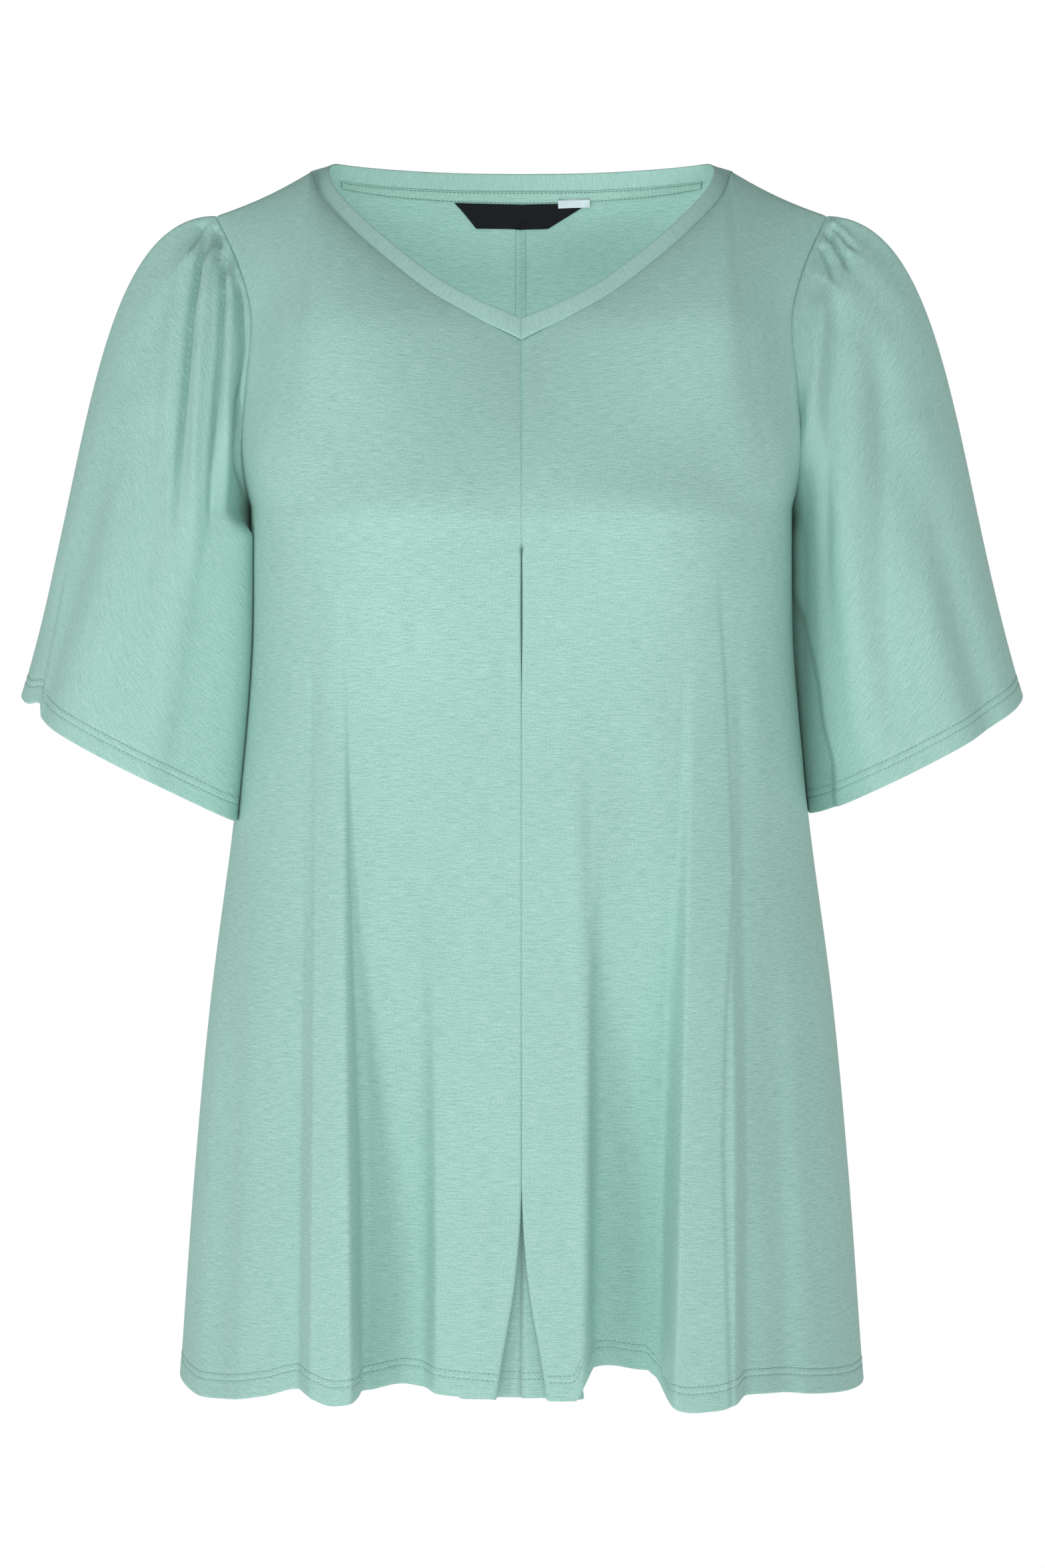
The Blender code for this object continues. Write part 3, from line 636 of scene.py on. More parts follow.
def sewn_face(cut, side, columns, start_of, relief):
    """A panel's face with its creases, seams and hem, its normals, and the distance from the centre."""
    face = panel_grid(cut, side, columns, panel_rows, start_of)
    out = normals_of(face, side if cut.part == "front" else -side)
    across, level = face[..., 0], face[..., 2]
    from_centre, from_top = lengths(face, 1), lengths(face, 0)
    from_side = from_centre[:, -1:] - from_centre
    height = crease_height(cut.creases, across, level) * ease(from_side / 14) * ease(from_top / 14)
    height += relief(across, level, from_centre)
    height += seam_roll(from_side, 0.7) + seam_roll(from_top, cut.shoulder_dip)
    height += hem_relief(from_top[-1:] - from_top, *PANEL_NEEDLES)
    return face + out * height[..., None], out, from_centre


def flat_cut(points, out, across):
    """The panel with its hem turned up, and the places across and down its flat cut."""
    across = across.copy()
    across[:first_below_arm] = across[first_below_arm]
    turned = turn_up(points, out, HEM_TURN)
    across = np.concatenate([across, np.repeat(across[-1:], len(turned) - len(across), axis=0)])
    down = lengths(turned, 0)
    return turned, across, down - down[first_skirt]


def front_relief(across, level, from_centre):
    """The bust's edge, the fold lines and the seam above the pleat."""
    folds = drape_height(FRONT_DRAPES, across, level) + ledge_height(FRONT_LEDGES, across, level)
    return bust_line(across, level) + folds + seam_roll(from_centre, 0.07, 0.5) * (panel_rows[:, None] < 8.8)


for name, side in (("left", 1), ("right", -1)):
    face, out, from_centre = sewn_face(FRONT_CUT, side, front_columns, front_start, front_relief)
    layers = pleat_grid(side, panel_rows)
    layer_out = normals_of(layers[first_skirt:], side)
    layer_out = np.concatenate([np.repeat(layer_out[:1], first_skirt, axis=0), layer_out])
    whole, whole_out = np.concatenate([layers, face], 1), np.concatenate([layer_out, out], 1)
    edge = len(PLEAT_LEGS)
    panels["front_" + name] = (whole, whole_out, edge)
    steps = lengths(whole, 1)
    turned, across, down = flat_cut(whole, whole_out, steps - steps[:, edge:edge + 1])
    keep = np.ones(across.shape, bool)
    keep[:first_skirt, :edge] = False
    piece = cloth_object("front_panel_" + name, jersey, turned, across * side, down, keep, flip=side < 0)
    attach(piece, "root")
    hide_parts("front_" + name)

# Backs. Two mirrored panels of the same jersey, joined down the centre back and to the fronts at the
# shoulders and sides. The hem is turned up once and hangs in soft folds.
NECK_BACK = table(NeckRow,
    (0, 64, -15.0, 0.0, -2.0, 10.4),
    (45, 62, -14.5, -1.0, -2.4, 10.3),
    (88, 53, -12.6, -3.0, -3.0, 9.8),
    (122, 32, -10.0, -6.6, -2.2, 8.4),
    (135, 0, -8.8, -8.9, 0.0, 6.9),
)
ARM_BACK = table(ArmRow,
    (0.0, 196, 0, -37),
    (0.2, 187, 28, -72),
    (0.4, 180, 47, -108),
    (0.6, 177, 57, -150),
    (0.8, 176, 48, -192),
    (0.92, 174, 26, -216),
    (1.0, 173, 0, -225),
)
BACK_FOLDS = table(Fold,
    (-330, -660, -150, -158, 8, 15, 22, 15),
    (-300, -680, -66, -72, 10, 20, 26, -14),
    (-360, -700, -10, -8, 8, 18, 26, 9),
    (-300, -640, 62, 74, 10, 22, 24, 16),
    (-380, -680, 132, 140, 8, 16, 24, -13),
)
HEM_BACK = table(HemRow,
    (-221, -781), (-158, -788), (-72, -780), (0, -786),
    (74, -789), (140, -780), (221, -785),
)
BACK_CREASES = table(Crease,
    (-152, -210, -96, -320, 11, -1.8),
    (156, -214, 104, -306, 11, -1.8),
    (-140, -330, -148, -740, 8, 1.4),
    (-100, -400, -104, -770, 9, -1.8),
    (-40, -450, -44, -770, 8, 1.4),
    (32, -420, 34, -770, 9, -1.8),
    (70, -360, 76, -760, 7, 1.4),
    (112, -420, 116, -770, 8, -1.6),
    (-120, -110, -60, -170, 16, -1.2),
    (124, -116, 66, -176, 16, -1.2),
)
BACK_CUT = Cut("back", 20, 13, (0.4, 0.3, 0.3), smooth_line(NECK_BACK), ARM_BACK,
               (0.8, 0.4, 0.5), BACK_FOLDS, HEM_BACK, BACK_CREASES, 0.4)
back_columns = np.concatenate([
    [0.0, 0.05, 0.1, 0.18], np.linspace(0.25, 19.75, 118), [19.84, 19.91, 19.96, 20.0],
])


def back_start(level):
    return 0.1


def back_relief(across, level, from_centre):
    return seam_roll(from_centre, 0.6)


for name, side in (("left", 1), ("right", -1)):
    face, out, from_centre = sewn_face(BACK_CUT, side, back_columns, back_start, back_relief)
    panels["back_" + name] = (face, out, 0)
    turned, across, down = flat_cut(face, out, from_centre)
    piece = cloth_object("back_panel_" + name, jersey, turned, across * side, down, flip=side > 0)
    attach(piece, "root")
    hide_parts("back_" + name)

# Sleeves. Short flared tubes of the jersey, gathered into the armhole over the head, with one seam
# under the arm and a turned-up hem. They hang clear of the body's sides.
SLEEVE_HEM_CENTRE = np.array((253.0, 2.0, -384.0))
SLEEVE_HEM_OUT, SLEEVE_HEM_DEPTH, SLEEVE_HEM_SQUARE = 69.0, 78.0, 2.3
HEM_SLOPE, SLEEVE_ROUND, SLEEVE_DROP, SLEEVE_TURN, SLEEVE_NEEDLES = 0.51, 430, 270, 16.0, (14.0, 9.5)
LEFT_STEP, RIGHT_STEP, RIGHT_NOTCH = 10.0, 6.0, 8.0
LEAVE = ((240, 0, 0), (95, -40, -150), (24, 0, -130), (95, 40, -140))
REACH = ((130, 0, -420), (70, -10, -260), (30, 0, -170), (70, 10, -260))
Gather = namedtuple("Gather", "around half height run")
GATHERS = {
    "left": table(Gather,
        (-0.135, 0.016, 3.0, 0.30), (-0.085, 0.017, 3.6, 0.42),
        (-0.035, 0.015, 3.2, 0.34), (0.020, 0.016, 3.8, 0.50),
        (0.070, 0.017, 4.0, 0.62), (0.125, 0.018, 3.4, 0.46),
        (-0.108, 0.006, -1.4, 0.20), (-0.060, 0.006, -1.6, 0.26),
        (-0.008, 0.006, -1.8, 0.30), (0.046, 0.006, -1.8, 0.36),
        (0.098, 0.007, -1.6, 0.34), (0.012, 0.004, 1.2, 0.16),
    ),
    "right": table(Gather,
        (-0.130, 0.017, 3.2, 0.36), (-0.075, 0.016, 3.4, 0.30),
        (-0.025, 0.016, 3.6, 0.44), (0.030, 0.015, 3.4, 0.40),
        (0.080, 0.018, 4.0, 0.66), (0.135, 0.017, 3.8, 0.52),
        (-0.102, 0.006, -1.5, 0.22), (-0.050, 0.006, -1.6, 0.24),
        (0.004, 0.006, -1.8, 0.30), (0.056, 0.006, -2.0, 0.42),
        (0.108, 0.007, -1.8, 0.40), (0.068, 0.004, 1.2, 0.18),
    ),
}
SLEEVE_WAVES = {
    "left": table(Gather, (0.14, 0.05, 7.0, 1.0), (0.30, 0.05, -6.0, 1.0), (-0.20, 0.06, 6.0, 1.0)),
    "right": table(Gather, (0.10, 0.05, 6.0, 1.0), (0.27, 0.05, -7.0, 1.0), (-0.24, 0.06, 6.0, 1.0)),
}
# Points across and up as seen from the front, with the half width and height, all in millimetres
SLEEVE_DRAPES = {
    "left": table(Drape,
        (2.2, -6.0, ((195, -46), (200, -53), (206, -63), (210, -76))),
        (1.6, -4.0, ((200, -43), (207, -51), (215, -62))),
        (2.4, 2.2, ((197, -40), (204, -46), (213, -56))),
        (1.8, -3.8, ((191, -56), (196, -68), (199, -84))),
        (4.6, 4.0, ((193, -80), (190, -102), (184, -157), (179, -199), (176, -240))),
        (5.5, -3.4, ((201, -84), (198, -140), (193, -200), (192, -260), (196, -330))),
        (9.0, 3.0, ((214, -100), (212, -160), (208, -230), (210, -300), (214, -400))),
        (8.0, -2.6, ((229, -110), (230, -180), (228, -260), (231, -340), (234, -420))),
        (12.0, 2.2, ((250, -150), (256, -230), (262, -320), (266, -400))),
    ),
    "right": table(Drape,
        (2.1, -7.4, ((199, -41), (206, -70), (211, -106), (214, -155), (217, -191), (221, -260))),
        (4.2, 4.8, ((195, -47), (200, -72), (202, -106), (204, -153), (206, -191), (208, -270))),
        (6.0, 3.0, ((206, -43), (215, -70), (221, -106), (224, -157), (227, -210))),
        (2.0, -6.4, ((190, -54), (190, -85), (191, -123), (194, -161), (196, -199), (198, -250))),
        (3.4, 4.8, ((186, -60), (184, -89), (184, -123), (186, -161), (188, -199), (190, -260))),
        (2.0, -6.0, ((185, -68), (179, -93), (177, -123), (180, -165), (180, -199), (174, -230))),
        (1.5, -4.0, ((204, -41), (214, -66))),
        (1.5, -4.4, ((196, -43), (201, -68))),
        (1.5, -4.4, ((192, -46), (195, -74))),
        (1.5, -4.0, ((188, -53), (187, -78))),
        (10.0, -2.8, ((232, -150), (236, -230), (240, -320), (244, -400))),
        (12.0, 2.4, ((252, -140), (258, -220), (266, -320), (270, -390))),
    ),
}
# Around and down the sleeve, both as shares, with the half width and height in millimetres
SLEEVE_CREASES = {
    "left": table(Crease,
        (-0.06, 0.03, -0.14, 0.50, 6, -1.8), (-0.16, 0.06, -0.26, 0.60, 7, -1.6),
        (-0.30, 0.20, -0.36, 0.90, 9, -1.6), (-0.10, 0.40, -0.12, 0.98, 8, -1.4),
    ),
    "right": table(Crease,
        (-0.08, 0.03, -0.18, 0.56, 6, -1.8), (-0.15, 0.06, -0.24, 0.60, 7, -1.6),
        (-0.32, 0.20, -0.36, 0.90, 9, -1.6), (-0.12, 0.40, -0.14, 0.98, 8, -1.4),
    ),
}
# The front layer's free edges: across and level in millimetres. Beyond each the cloth lies further back
LEFT_EDGE = ((171, -240), (177, -272), (184, -310), (189, -335), (192, -361), (198, -386), (201, -440))
RIGHT_EDGE = ((286, -240), (294, -285), (300, -319), (306, -358), (308, -400))


def quarter_mix(around, values):
    """A value that turns smoothly from the top through the front and under to the back."""
    turn = 2 * math.pi * around
    weights = (np.cos(turn), np.sin(turn), -np.cos(turn), -np.sin(turn))
    return sum(np.maximum(0, w)[..., None] ** 2 * np.array(value, float) for w, value in zip(weights, values))


def clear_of_body(points, gap=0.95):
    """Moves a sleeve's points out to where they hang just clear of the body's side."""
    x, y, z = points[..., 0], points[..., 1], points[..., 2]
    depth = np.where(y < 0, read(BODY, "front", z), read(BODY, "back", z))
    square = read(BODY, "square", z)
    edge = read(BODY, "side", z) * np.clip(1 - (np.abs(y) / depth) ** square, 0, 1) ** (1 / square)
    clear = edge + gap * ease((UNDERARM[2] - z) / 12)
    return np.stack([np.where(z > UNDERARM[2] - 1, x, np.maximum(x, clear)), y, z], -1)


def sleeve_surface(around, down):
    """The sleeve's smooth form at shares of the way round and down."""
    around, down = np.broadcast_arrays(around % 1.0, down)
    start = np.stack([
        np.where(around <= 0.5, read(ARM_FRONT, axis, around * 2), read(ARM_BACK, axis, (1 - around) * 2))
        for axis in "xyz"
    ], -1)
    start[..., 0] += mix(-0.1, 0.2, (np.minimum(around, 1 - around) * 2) ** 0.8)
    turn, bend = 2 * math.pi * around, 2 / SLEEVE_HEM_SQUARE
    out, front = np.cos(turn), np.sin(turn)
    x = SLEEVE_HEM_OUT * np.sign(out) * np.abs(out) ** bend
    y = -SLEEVE_HEM_DEPTH * np.sign(front) * np.abs(front) ** bend
    z = HEM_SLOPE * x + 0.05 * y + 5.0 * np.maximum(0, out) ** 6
    end = SLEEVE_HEM_CENTRE + np.stack([x, y, z], -1)
    leave, reach = quarter_mix(around, LEAVE), quarter_mix(around, REACH)
    return clear_of_body(hermite(start, end, leave, reach, down[..., None]))


def gather_height(waves, around, down, fades):
    lift = 0.0
    for wave in waves:
        away = (around - wave.around + 0.5) % 1.0 - 0.5
        strength = ease(1 - down / wave.run) if fades else ease(down)
        lift = lift + wave.height * strength * np.exp(-((away / wave.half) ** 2) * 1.6)
    return lift


def closed_normals(tube):
    """A tube's outward normals, the same on both sides of its seam."""
    out = normals_of(tube, -1)
    out[:, 0] = out[:, -1] = (out[:, 0] + out[:, -1]) / 2
    return out


fine = np.linspace(-0.5, 0.5, 601)
density = 1 + 2.6 * np.exp(-(((fine - 0.15) / 0.19) ** 4)) + 1.2 * np.exp(-(((fine - 0.40) / 0.06) ** 4))
sleeve_around = crowd_in(np.linspace(0, 1, 301), fine, density)
sleeve_around = np.concatenate([
    [-0.5, -0.4985, -0.4965], sleeve_around[1:-1], [0.4965, 0.4985, 0.5],
])[None, :]
sleeve_rows = np.concatenate([
    [0.0, 0.05, 0.11, 0.2, 0.3], np.linspace(0.4, 9.5, 80), np.linspace(9.5, 10, 30)[1:],
])
sleeve_down = ((sleeve_rows / 10) ** 1.1)[:, None]

for name, side in (("left", 1), ("right", -1)):
    tube = sleeve_surface(sleeve_around, sleeve_down)
    out = closed_normals(tube)
    lift = gather_height(GATHERS[name], sleeve_around, sleeve_down, True) * ease(sleeve_down * 14 + 0.15)
    facing = ease((0.35 - out[..., 1]) / 0.5) * (np.abs(sleeve_around - 0.2) < 0.3)
    waves = gather_height(SLEEVE_WAVES[name], sleeve_around, sleeve_down, False)
    lift = -lift * mix(1.0, 0.25, facing) - waves
    in_mm = np.array((SLEEVE_ROUND, SLEEVE_DROP, SLEEVE_ROUND, SLEEVE_DROP, 1, 1))
    creases = np.array(SLEEVE_CREASES[name]) * in_mm
    lift = lift + crease_height(creases, sleeve_around * SLEEVE_ROUND, sleeve_down * SLEEVE_DROP)
    from_top, under = lengths(tube, 0), lengths(tube, 1)
    under = np.minimum(under, under[:, -1:] - under)
    lift = lift + drape_height(SLEEVE_DRAPES[name], tube[..., 0], tube[..., 2]) * facing * ease(from_top / 5)
    lift = lift + seam_roll(from_top, 0.6) + seam_roll(under, 0.6)
    lift = lift + hem_relief(from_top[-1:] - from_top, *SLEEVE_NEEDLES)
    tube = tube + out * lift[..., None]
    near = ease((0.20 - np.abs(np.abs(sleeve_around) - 0.5)) / 0.12)
    if name == "left":
        past = line_x(LEFT_EDGE, tube[..., 2]) - tube[..., 0]
        inner = ease((sleeve_around - 0.2) / 0.1) * ease((0.5 - sleeve_around) / 0.03)
        tube[..., 1] += LEFT_STEP * ease(past / 1.6 + 0.5) * inner * np.minimum(from_top / 40, 1.0)
        near = near * np.where(sleeve_around > 0, ease((sleeve_around - 0.44) / 0.05), 1.0)
    else:
        past = tube[..., 0] - line_x(RIGHT_EDGE, tube[..., 2])
        outer = ease(past / 1.6 + 0.5) * ease((tube[..., 2] + 250) / -50)
        front = ease((sleeve_around + 0.012) / 0.025) * ease((0.12 - sleeve_around) / 0.03)
        tube[..., 1] += RIGHT_STEP * outer * front
        tube[..., 2] += RIGHT_NOTCH * outer * ease(1 - past / 15) * ease((sleeve_down - 0.84) / 0.14)
    near = near * ease((UNDERARM[2] - 1 - tube[..., 2]) / 18)
    close = clear_of_body(tube * np.array((0.0, 1.0, 1.0)))[..., 0]
    drawn_in = np.where(close > 0, np.minimum(close - tube[..., 0], 0.0) * near, 0.0)
    tube[..., 0] += drawn_in
    tube[..., 2] += HEM_SLOPE * drawn_in * ease((sleeve_down - 0.4) / 0.6)
    tube = clear_of_body(tube)
    tube[:, -1] = tube[:, 0]
    mirror = np.array((side, 1, 1))
    tube, out = tube * mirror, closed_normals(tube) * mirror
    panels["sleeve_" + name] = (tube, out, 0)
    turned = turn_up(tube, out, SLEEVE_TURN)
    turned[:, -1] = turned[:, 0]
    down, across = lengths(turned, 0), lengths(turned, 1)
    across = np.repeat(across[60:61], len(across), axis=0)
    piece = cloth_object("sleeve_tube_" + name, jersey, turned, across * side, down, flip=side > 0, ring=True)
    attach(piece, "root")
    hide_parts("sleeve_" + name)

# Neckband. A strip of the jersey folded in half lengthwise and sewn round the neck edge, 10 mm wide.
# Its ends meet in a mitre at the point of the V.
BAND_THICK = 1.9
FRONT_STOPS, BACK_STOPS = FRONT_CUT.neck_column, BACK_CUT.neck_column
HALF_ROUND = FRONT_STOPS + BACK_STOPS


def neck_station(index):
    """The neck seam and the band's lean, counted from the V round to the V again."""
    side = np.where(index <= HALF_ROUND, 1, -1)
    index = np.minimum(index, 2 * HALF_ROUND - index)
    front = along(FRONT_CUT.neck, np.clip(index / FRONT_STOPS, 0, 1))
    back = along(BACK_CUT.neck, np.clip((HALF_ROUND - index) / BACK_STOPS, 0, 1))
    values = np.where((index <= FRONT_STOPS)[:, None], front, back)
    values[:, [0, 3]] *= side[:, None]
    return values


near_v = np.array((0.0, 0.05, 0.11, 0.2, 0.35, 0.55, 0.8))
stations = np.concatenate([near_v, np.linspace(1.0, 73.0, 361), (2 * HALF_ROUND - near_v)[::-1]])
values = neck_station(stations)
seam, lean = values[:, :3], values[:, 3:]
run = np.gradient(seam, axis=0)
run[0], run[-1] = seam[1] - seam[0], seam[-1] - seam[-2]
face_out = np.cross(run, lean)
face_out /= np.linalg.norm(face_out, axis=1, keepdims=True)
face_out *= np.sign((face_out * (seam - np.array((0, 0, -60)))).sum(1, keepdims=True))
start = -0.9 / np.linalg.norm(lean, axis=1)
top = seam + lean
even = np.ones(29) / 29
soft_top = np.stack([np.convolve(np.pad(column, 14, mode="edge"), even, "valid") for column in top.T], -1)
rounded_off = sum(np.exp(-(((stations - stop) / 2.2) ** 2)) for stop in (24, 50))
lean = mix(top, soft_top, rounded_off[:, None]) - seam
way = running(seam)
pinch = 1 - 0.85 * np.exp(-((np.minimum(way, way[-1] - way) / 0.8) ** 2))
rounds = []
for turn in np.linspace(0, 2 * math.pi, 21):
    out_share, thick = math.cos(turn), math.sin(turn)
    width = 0.5 + 0.5 * math.copysign(abs(out_share) ** 0.55, out_share)
    thick = BAND_THICK / 2 * math.copysign(abs(thick) ** 0.62, thick) * (1.0 - 0.22 * (1 - width))
    place = seam + lean * mix(start, 1.0, width)[:, None]
    rounds.append(place + face_out * (thick * pinch)[:, None])
band = np.stack(rounds, 0)
band[:, -1] = band[:, 0]
band[:, 0, 0] = band[:, -1, 0] = 0.0
band[-1] = band[0]
band_down = np.repeat(lengths(band, 0)[:, 60:61], band.shape[1], axis=1)
band_across = np.repeat(lengths(band, 1)[5:6], band.shape[0], axis=0)
binding = jersey_material(
    "neck_binding", (0.36, 0.59, 0.532), (0.48, 0.70, 0.63), (0.26, 0.46, 0.41), turned=True)
piece = cloth_object("neck_binding", binding, band, band_across, band_down, ring=True)
piece.modifiers.clear()
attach(piece, "root")
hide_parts("neckband")

# Neck tape. A ribbed cotton tape over the back neck seam, stitched down along both of its edges
# to the inside of the back. It runs from shoulder to shoulder.
lining = panel_grid(BACK_CUT, 1, back_columns, panel_rows, back_start)
lining_out = normals_of(lining, -1)
neck_edge = lining[0, back_columns <= BACK_STOPS + 0.001, 0]


def inside_back(x, drop, inset):
    """A grid of points inside the back, at places across and distances below the neck seam."""
    lines = []
    for place in x:
        at = np.interp(abs(place), neck_edge, np.arange(len(neck_edge)))
        low = min(int(at), len(neck_edge) - 2)
        line, out = (mix(grid[:, low], grid[:, low + 1], at - low) for grid in (lining, lining_out))
        way = running(line)
        spots = pick(np.atleast_1d(drop), way, line) - inset * pick(np.atleast_1d(drop), way, out)
        if place < 0:
            spots[:, 0] *= -1
        lines.append(spots)
    return np.stack(lines, 1)


def facing_in(points):
    """Normals of a grid inside the back, towards the front."""
    face = normals_of(points, 1)
    return face * np.sign(-face[..., 1:2].mean())


TAPE_HALF, TAPE_TOP, TAPE_FOOT, TAPE_INSET, RIB = 117.0, 0.2, 9.6, 1.25, 1.15
tape_x = np.linspace(-TAPE_HALF, TAPE_HALF, 817)
tape_drop = np.linspace(TAPE_TOP, TAPE_FOOT, 13)
tape = inside_back(tape_x, tape_drop, TAPE_INSET)
tape_face = facing_in(tape)
edge_in = np.minimum(tape_drop - TAPE_TOP, TAPE_FOOT - tape_drop)[:, None]
ribs = 0.17 * np.cos(2 * math.pi * tape_x[None] / RIB) * ease(edge_in / 0.9)
tape = tape + tape_face * (ribs + 0.18 * ease(edge_in / 2.0))[..., None]
tape_cloth = jersey_material(
    "ribbed_tape", (0.37, 0.60, 0.53), (0.52, 0.72, 0.62), (0.26, 0.45, 0.39), bump=0.35)
piece = cloth_object("ribbed_neck_tape", tape_cloth, tape, wall=0.7)
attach(piece, "root")
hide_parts("neck_tape")

# Label. A narrowing piece of black woven satin with folded edges, held by the tape's lower edge.
# It is left bare.
LABEL_TOP, LABEL_FOOT_DROP, LABEL_HALF, LABEL_FOOT = 10.3, 27.4, 43.5, (-28.5, 16.5)
LABEL_INSET, LABEL_COLUMNS = 1.75, 97
shares = np.linspace(0, 1, 25)
label_rows = []
for share in shares:
    left, right = mix(-LABEL_HALF, LABEL_FOOT[0], share ** 0.9), mix(LABEL_HALF, LABEL_FOOT[1], share)
    row_x = np.linspace(left, right, LABEL_COLUMNS)
    label_rows.append(inside_back(row_x, mix(LABEL_TOP, LABEL_FOOT_DROP, share), LABEL_INSET)[0])
label = np.stack(label_rows)
over = np.linspace(0, 1, LABEL_COLUMNS)[None, :]
down_share = shares[:, None]
lift = 0.5 * np.exp(-(((over - 0.02) / 0.10) ** 2)) * down_share
lift = lift + 0.35 * np.sin(over * 9.0 + 0.6) * down_share ** 2
lift = lift + 0.7 * np.exp(-(((over - 0.6) / 0.05) ** 2)) * ease(down_share * 2 - 0.9)
label = label + facing_in(label) * lift[..., None]
satin, satin_in, satin_out = new_group(
    "satin_weave",
    (("Cut", "Vector"), ("Thread", "Float")),
    (("Height", "Float"), ("Gap", "Float")),
)
place = add_node(satin, "ShaderNodeSeparateXYZ", {"Vector": satin_in.outputs["Cut"]})
warp, weft = (math_node(satin, "DIVIDE", place.outputs[axis], satin_in.outputs["Thread"]) for axis in "XY")
along_weft = math_node(satin, "MULTIPLY", weft, 0.2)
step = math_node(satin, "MULTIPLY_ADD", math_node(satin, "FLOOR", warp), 0.4, along_weft)
floats = math_node(satin, "PINGPONG", step, 0.5)
woven = math_node(satin, "MULTIPLY_ADD", floats, 0.8, math_node(satin, "PINGPONG", warp, 0.5))
satin.links.new(woven, satin_out.inputs["Height"])
satin.links.new(math_node(satin, "LESS_THAN", floats, 0.06), satin_out.inputs["Gap"])


def satin_material(name, colour, gap_colour, thread, roughness):
    """Woven satin: long warp floats with a faint line between threads."""
    material, tree, shader = new_material(name)
    cut = add_node(tree, "ShaderNodeUVMap", uv_map="cut").outputs[0]
    weave = add_node(tree, "ShaderNodeGroup", {"Cut": cut, "Thread": thread}, node_tree=satin)
    soil = noise(tree, cut, 160.0, 4.0)
    gap = math_node(tree, "MULTIPLY", weave.outputs["Gap"], 0.6)
    tint = mix_colours(tree, gap, (*colour, 1), (*gap_colour, 1))
    tone = math_node(tree, "MULTIPLY_ADD", soil, 0.5, 0.75)
    toned = add_node(tree, "ShaderNodeHueSaturation", {"Value": tone, "Color": tint})
    matt = math_node(tree, "MULTIPLY_ADD", soil, 0.2, roughness - 0.1)
    link_shader(tree, shader, toned.outputs[0], matt, weave.outputs["Height"], 0.5, 0.00006)
    shader.inputs["Specular IOR Level"].default_value = 0.12
    return material


label_satin = satin_material("woven_label", (0.004, 0.005, 0.008), (0.018, 0.021, 0.027), 0.00035, 0.6)
piece = cloth_object("woven_neck_label", label_satin, label, wall=0.55)
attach(piece, "root")
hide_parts("neck_label")

# Tab. A short piece of pale satin tape folded double, sewn in over the neck tape's lower edge beside
# the label with its fold hanging down. It is left bare.
TAB_TOP, TAB_FOLD, TAB_LOOP, TAB_INSET = 6.8, 12.2, 0.5, 2.0
tab_x = np.linspace(23.5, 44.5, 31)
tab_legs = [(drop, TAB_INSET) for drop in np.linspace(TAB_TOP, TAB_FOLD, 10)]
tab_legs += [(TAB_FOLD + TAB_LOOP * math.sin(turn), TAB_INSET + TAB_LOOP * (1 - math.cos(turn)))
             for turn in np.linspace(0, math.pi, 8)[1:-1]]
tab_legs += [(drop, TAB_INSET + 2 * TAB_LOOP) for drop in np.linspace(TAB_FOLD, TAB_TOP, 10)]
tab = np.concatenate([inside_back(tab_x, drop, inset) for drop, inset in tab_legs])
tab_lean = inside_back(tab_x, TAB_TOP, 0.0) - inside_back(tab_x, TAB_TOP, 1.0)
tab = tab - tab_lean * (0.15 * np.cos(np.linspace(0, 7, 31)))[None, :, None]
tab_satin = satin_material("satin_tab", (0.66, 0.76, 0.80), (0.5, 0.6, 0.64), 0.0004, 0.45)
piece = cloth_object("pale_size_tab", tab_satin, tab, wall=0.4)
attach(piece, "root")
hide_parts("size_tab")

# Centre back allowance. The two backs' joined edges, overlocked together and pressed to one side,
# show inside the neck and run down to the hem.
EDGE_LEFT, EDGE_RIGHT = -3.4, 2.4
allowance_drop = np.linspace(10.5, 742.0, 260)
allowance = inside_back(np.linspace(EDGE_LEFT, EDGE_RIGHT, 7), allowance_drop, 0.85)
allowance_face = facing_in(allowance)
ripple = 0.16 * np.sin(allowance_drop / 5.2) * np.sin(allowance_drop / 19.0 + 1.0)
edge_lift = np.linspace(1, 0, 7)[None] ** 2 * (0.35 + ripple[:, None])
allowance = allowance + allowance_face * edge_lift[..., None]
piece = cloth_object("centre_back_allowance", jersey, allowance, wall=0.6)
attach(piece, "root")

# Threads. Twin-needle stitches along every hem, a stitched line along both edges of the tape and the
# overlock threads over the centre back allowance. Each stitch is a small rounded float of polyester.
HEM_STITCH, HEM_PITCH, THREAD = 2.3, 3.0, 0.42
bm = bmesh.new()
bmesh.ops.create_uvsphere(bm, u_segments=6, v_segments=4, radius=0.5 * MM)
one_stitch = bpy.data.meshes.new("one_stitch")
bm.to_mesh(one_stitch)
bm.free()


def stitches_along(bm, line, out, pitch, size, lift=0.45, slant=0.0):
    """Stitches at an even pitch along a line of points; size is their length and thickness."""
    way = running(line)
    spots = np.arange(pitch * 0.5, way[-1] - pitch * 0.3, pitch)
    spot, ahead, lean = pick(spots, way, line), pick(spots + 0.4, way, line), pick(spots, way, out)
    for at, forward, up in zip(spot, ahead - spot, lean):
        up = Vector(up).normalized()
        forward = Vector(forward).normalized()
        aside = up.cross(forward).normalized()
        if slant:
            forward = (forward * math.cos(slant) + aside * math.sin(slant)).normalized()
            aside = up.cross(forward).normalized()
        middle = (Vector(at) + up * lift) * MM
        turn = Matrix((aside * size[1], up * size[1] * 0.8, forward * size[0])).transposed().to_4x4()
        stitch = one_stitch.copy()
        stitch.transform(Matrix.Translation(middle) @ turn)
        bm.from_mesh(stitch)
        bpy.data.meshes.remove(stitch)


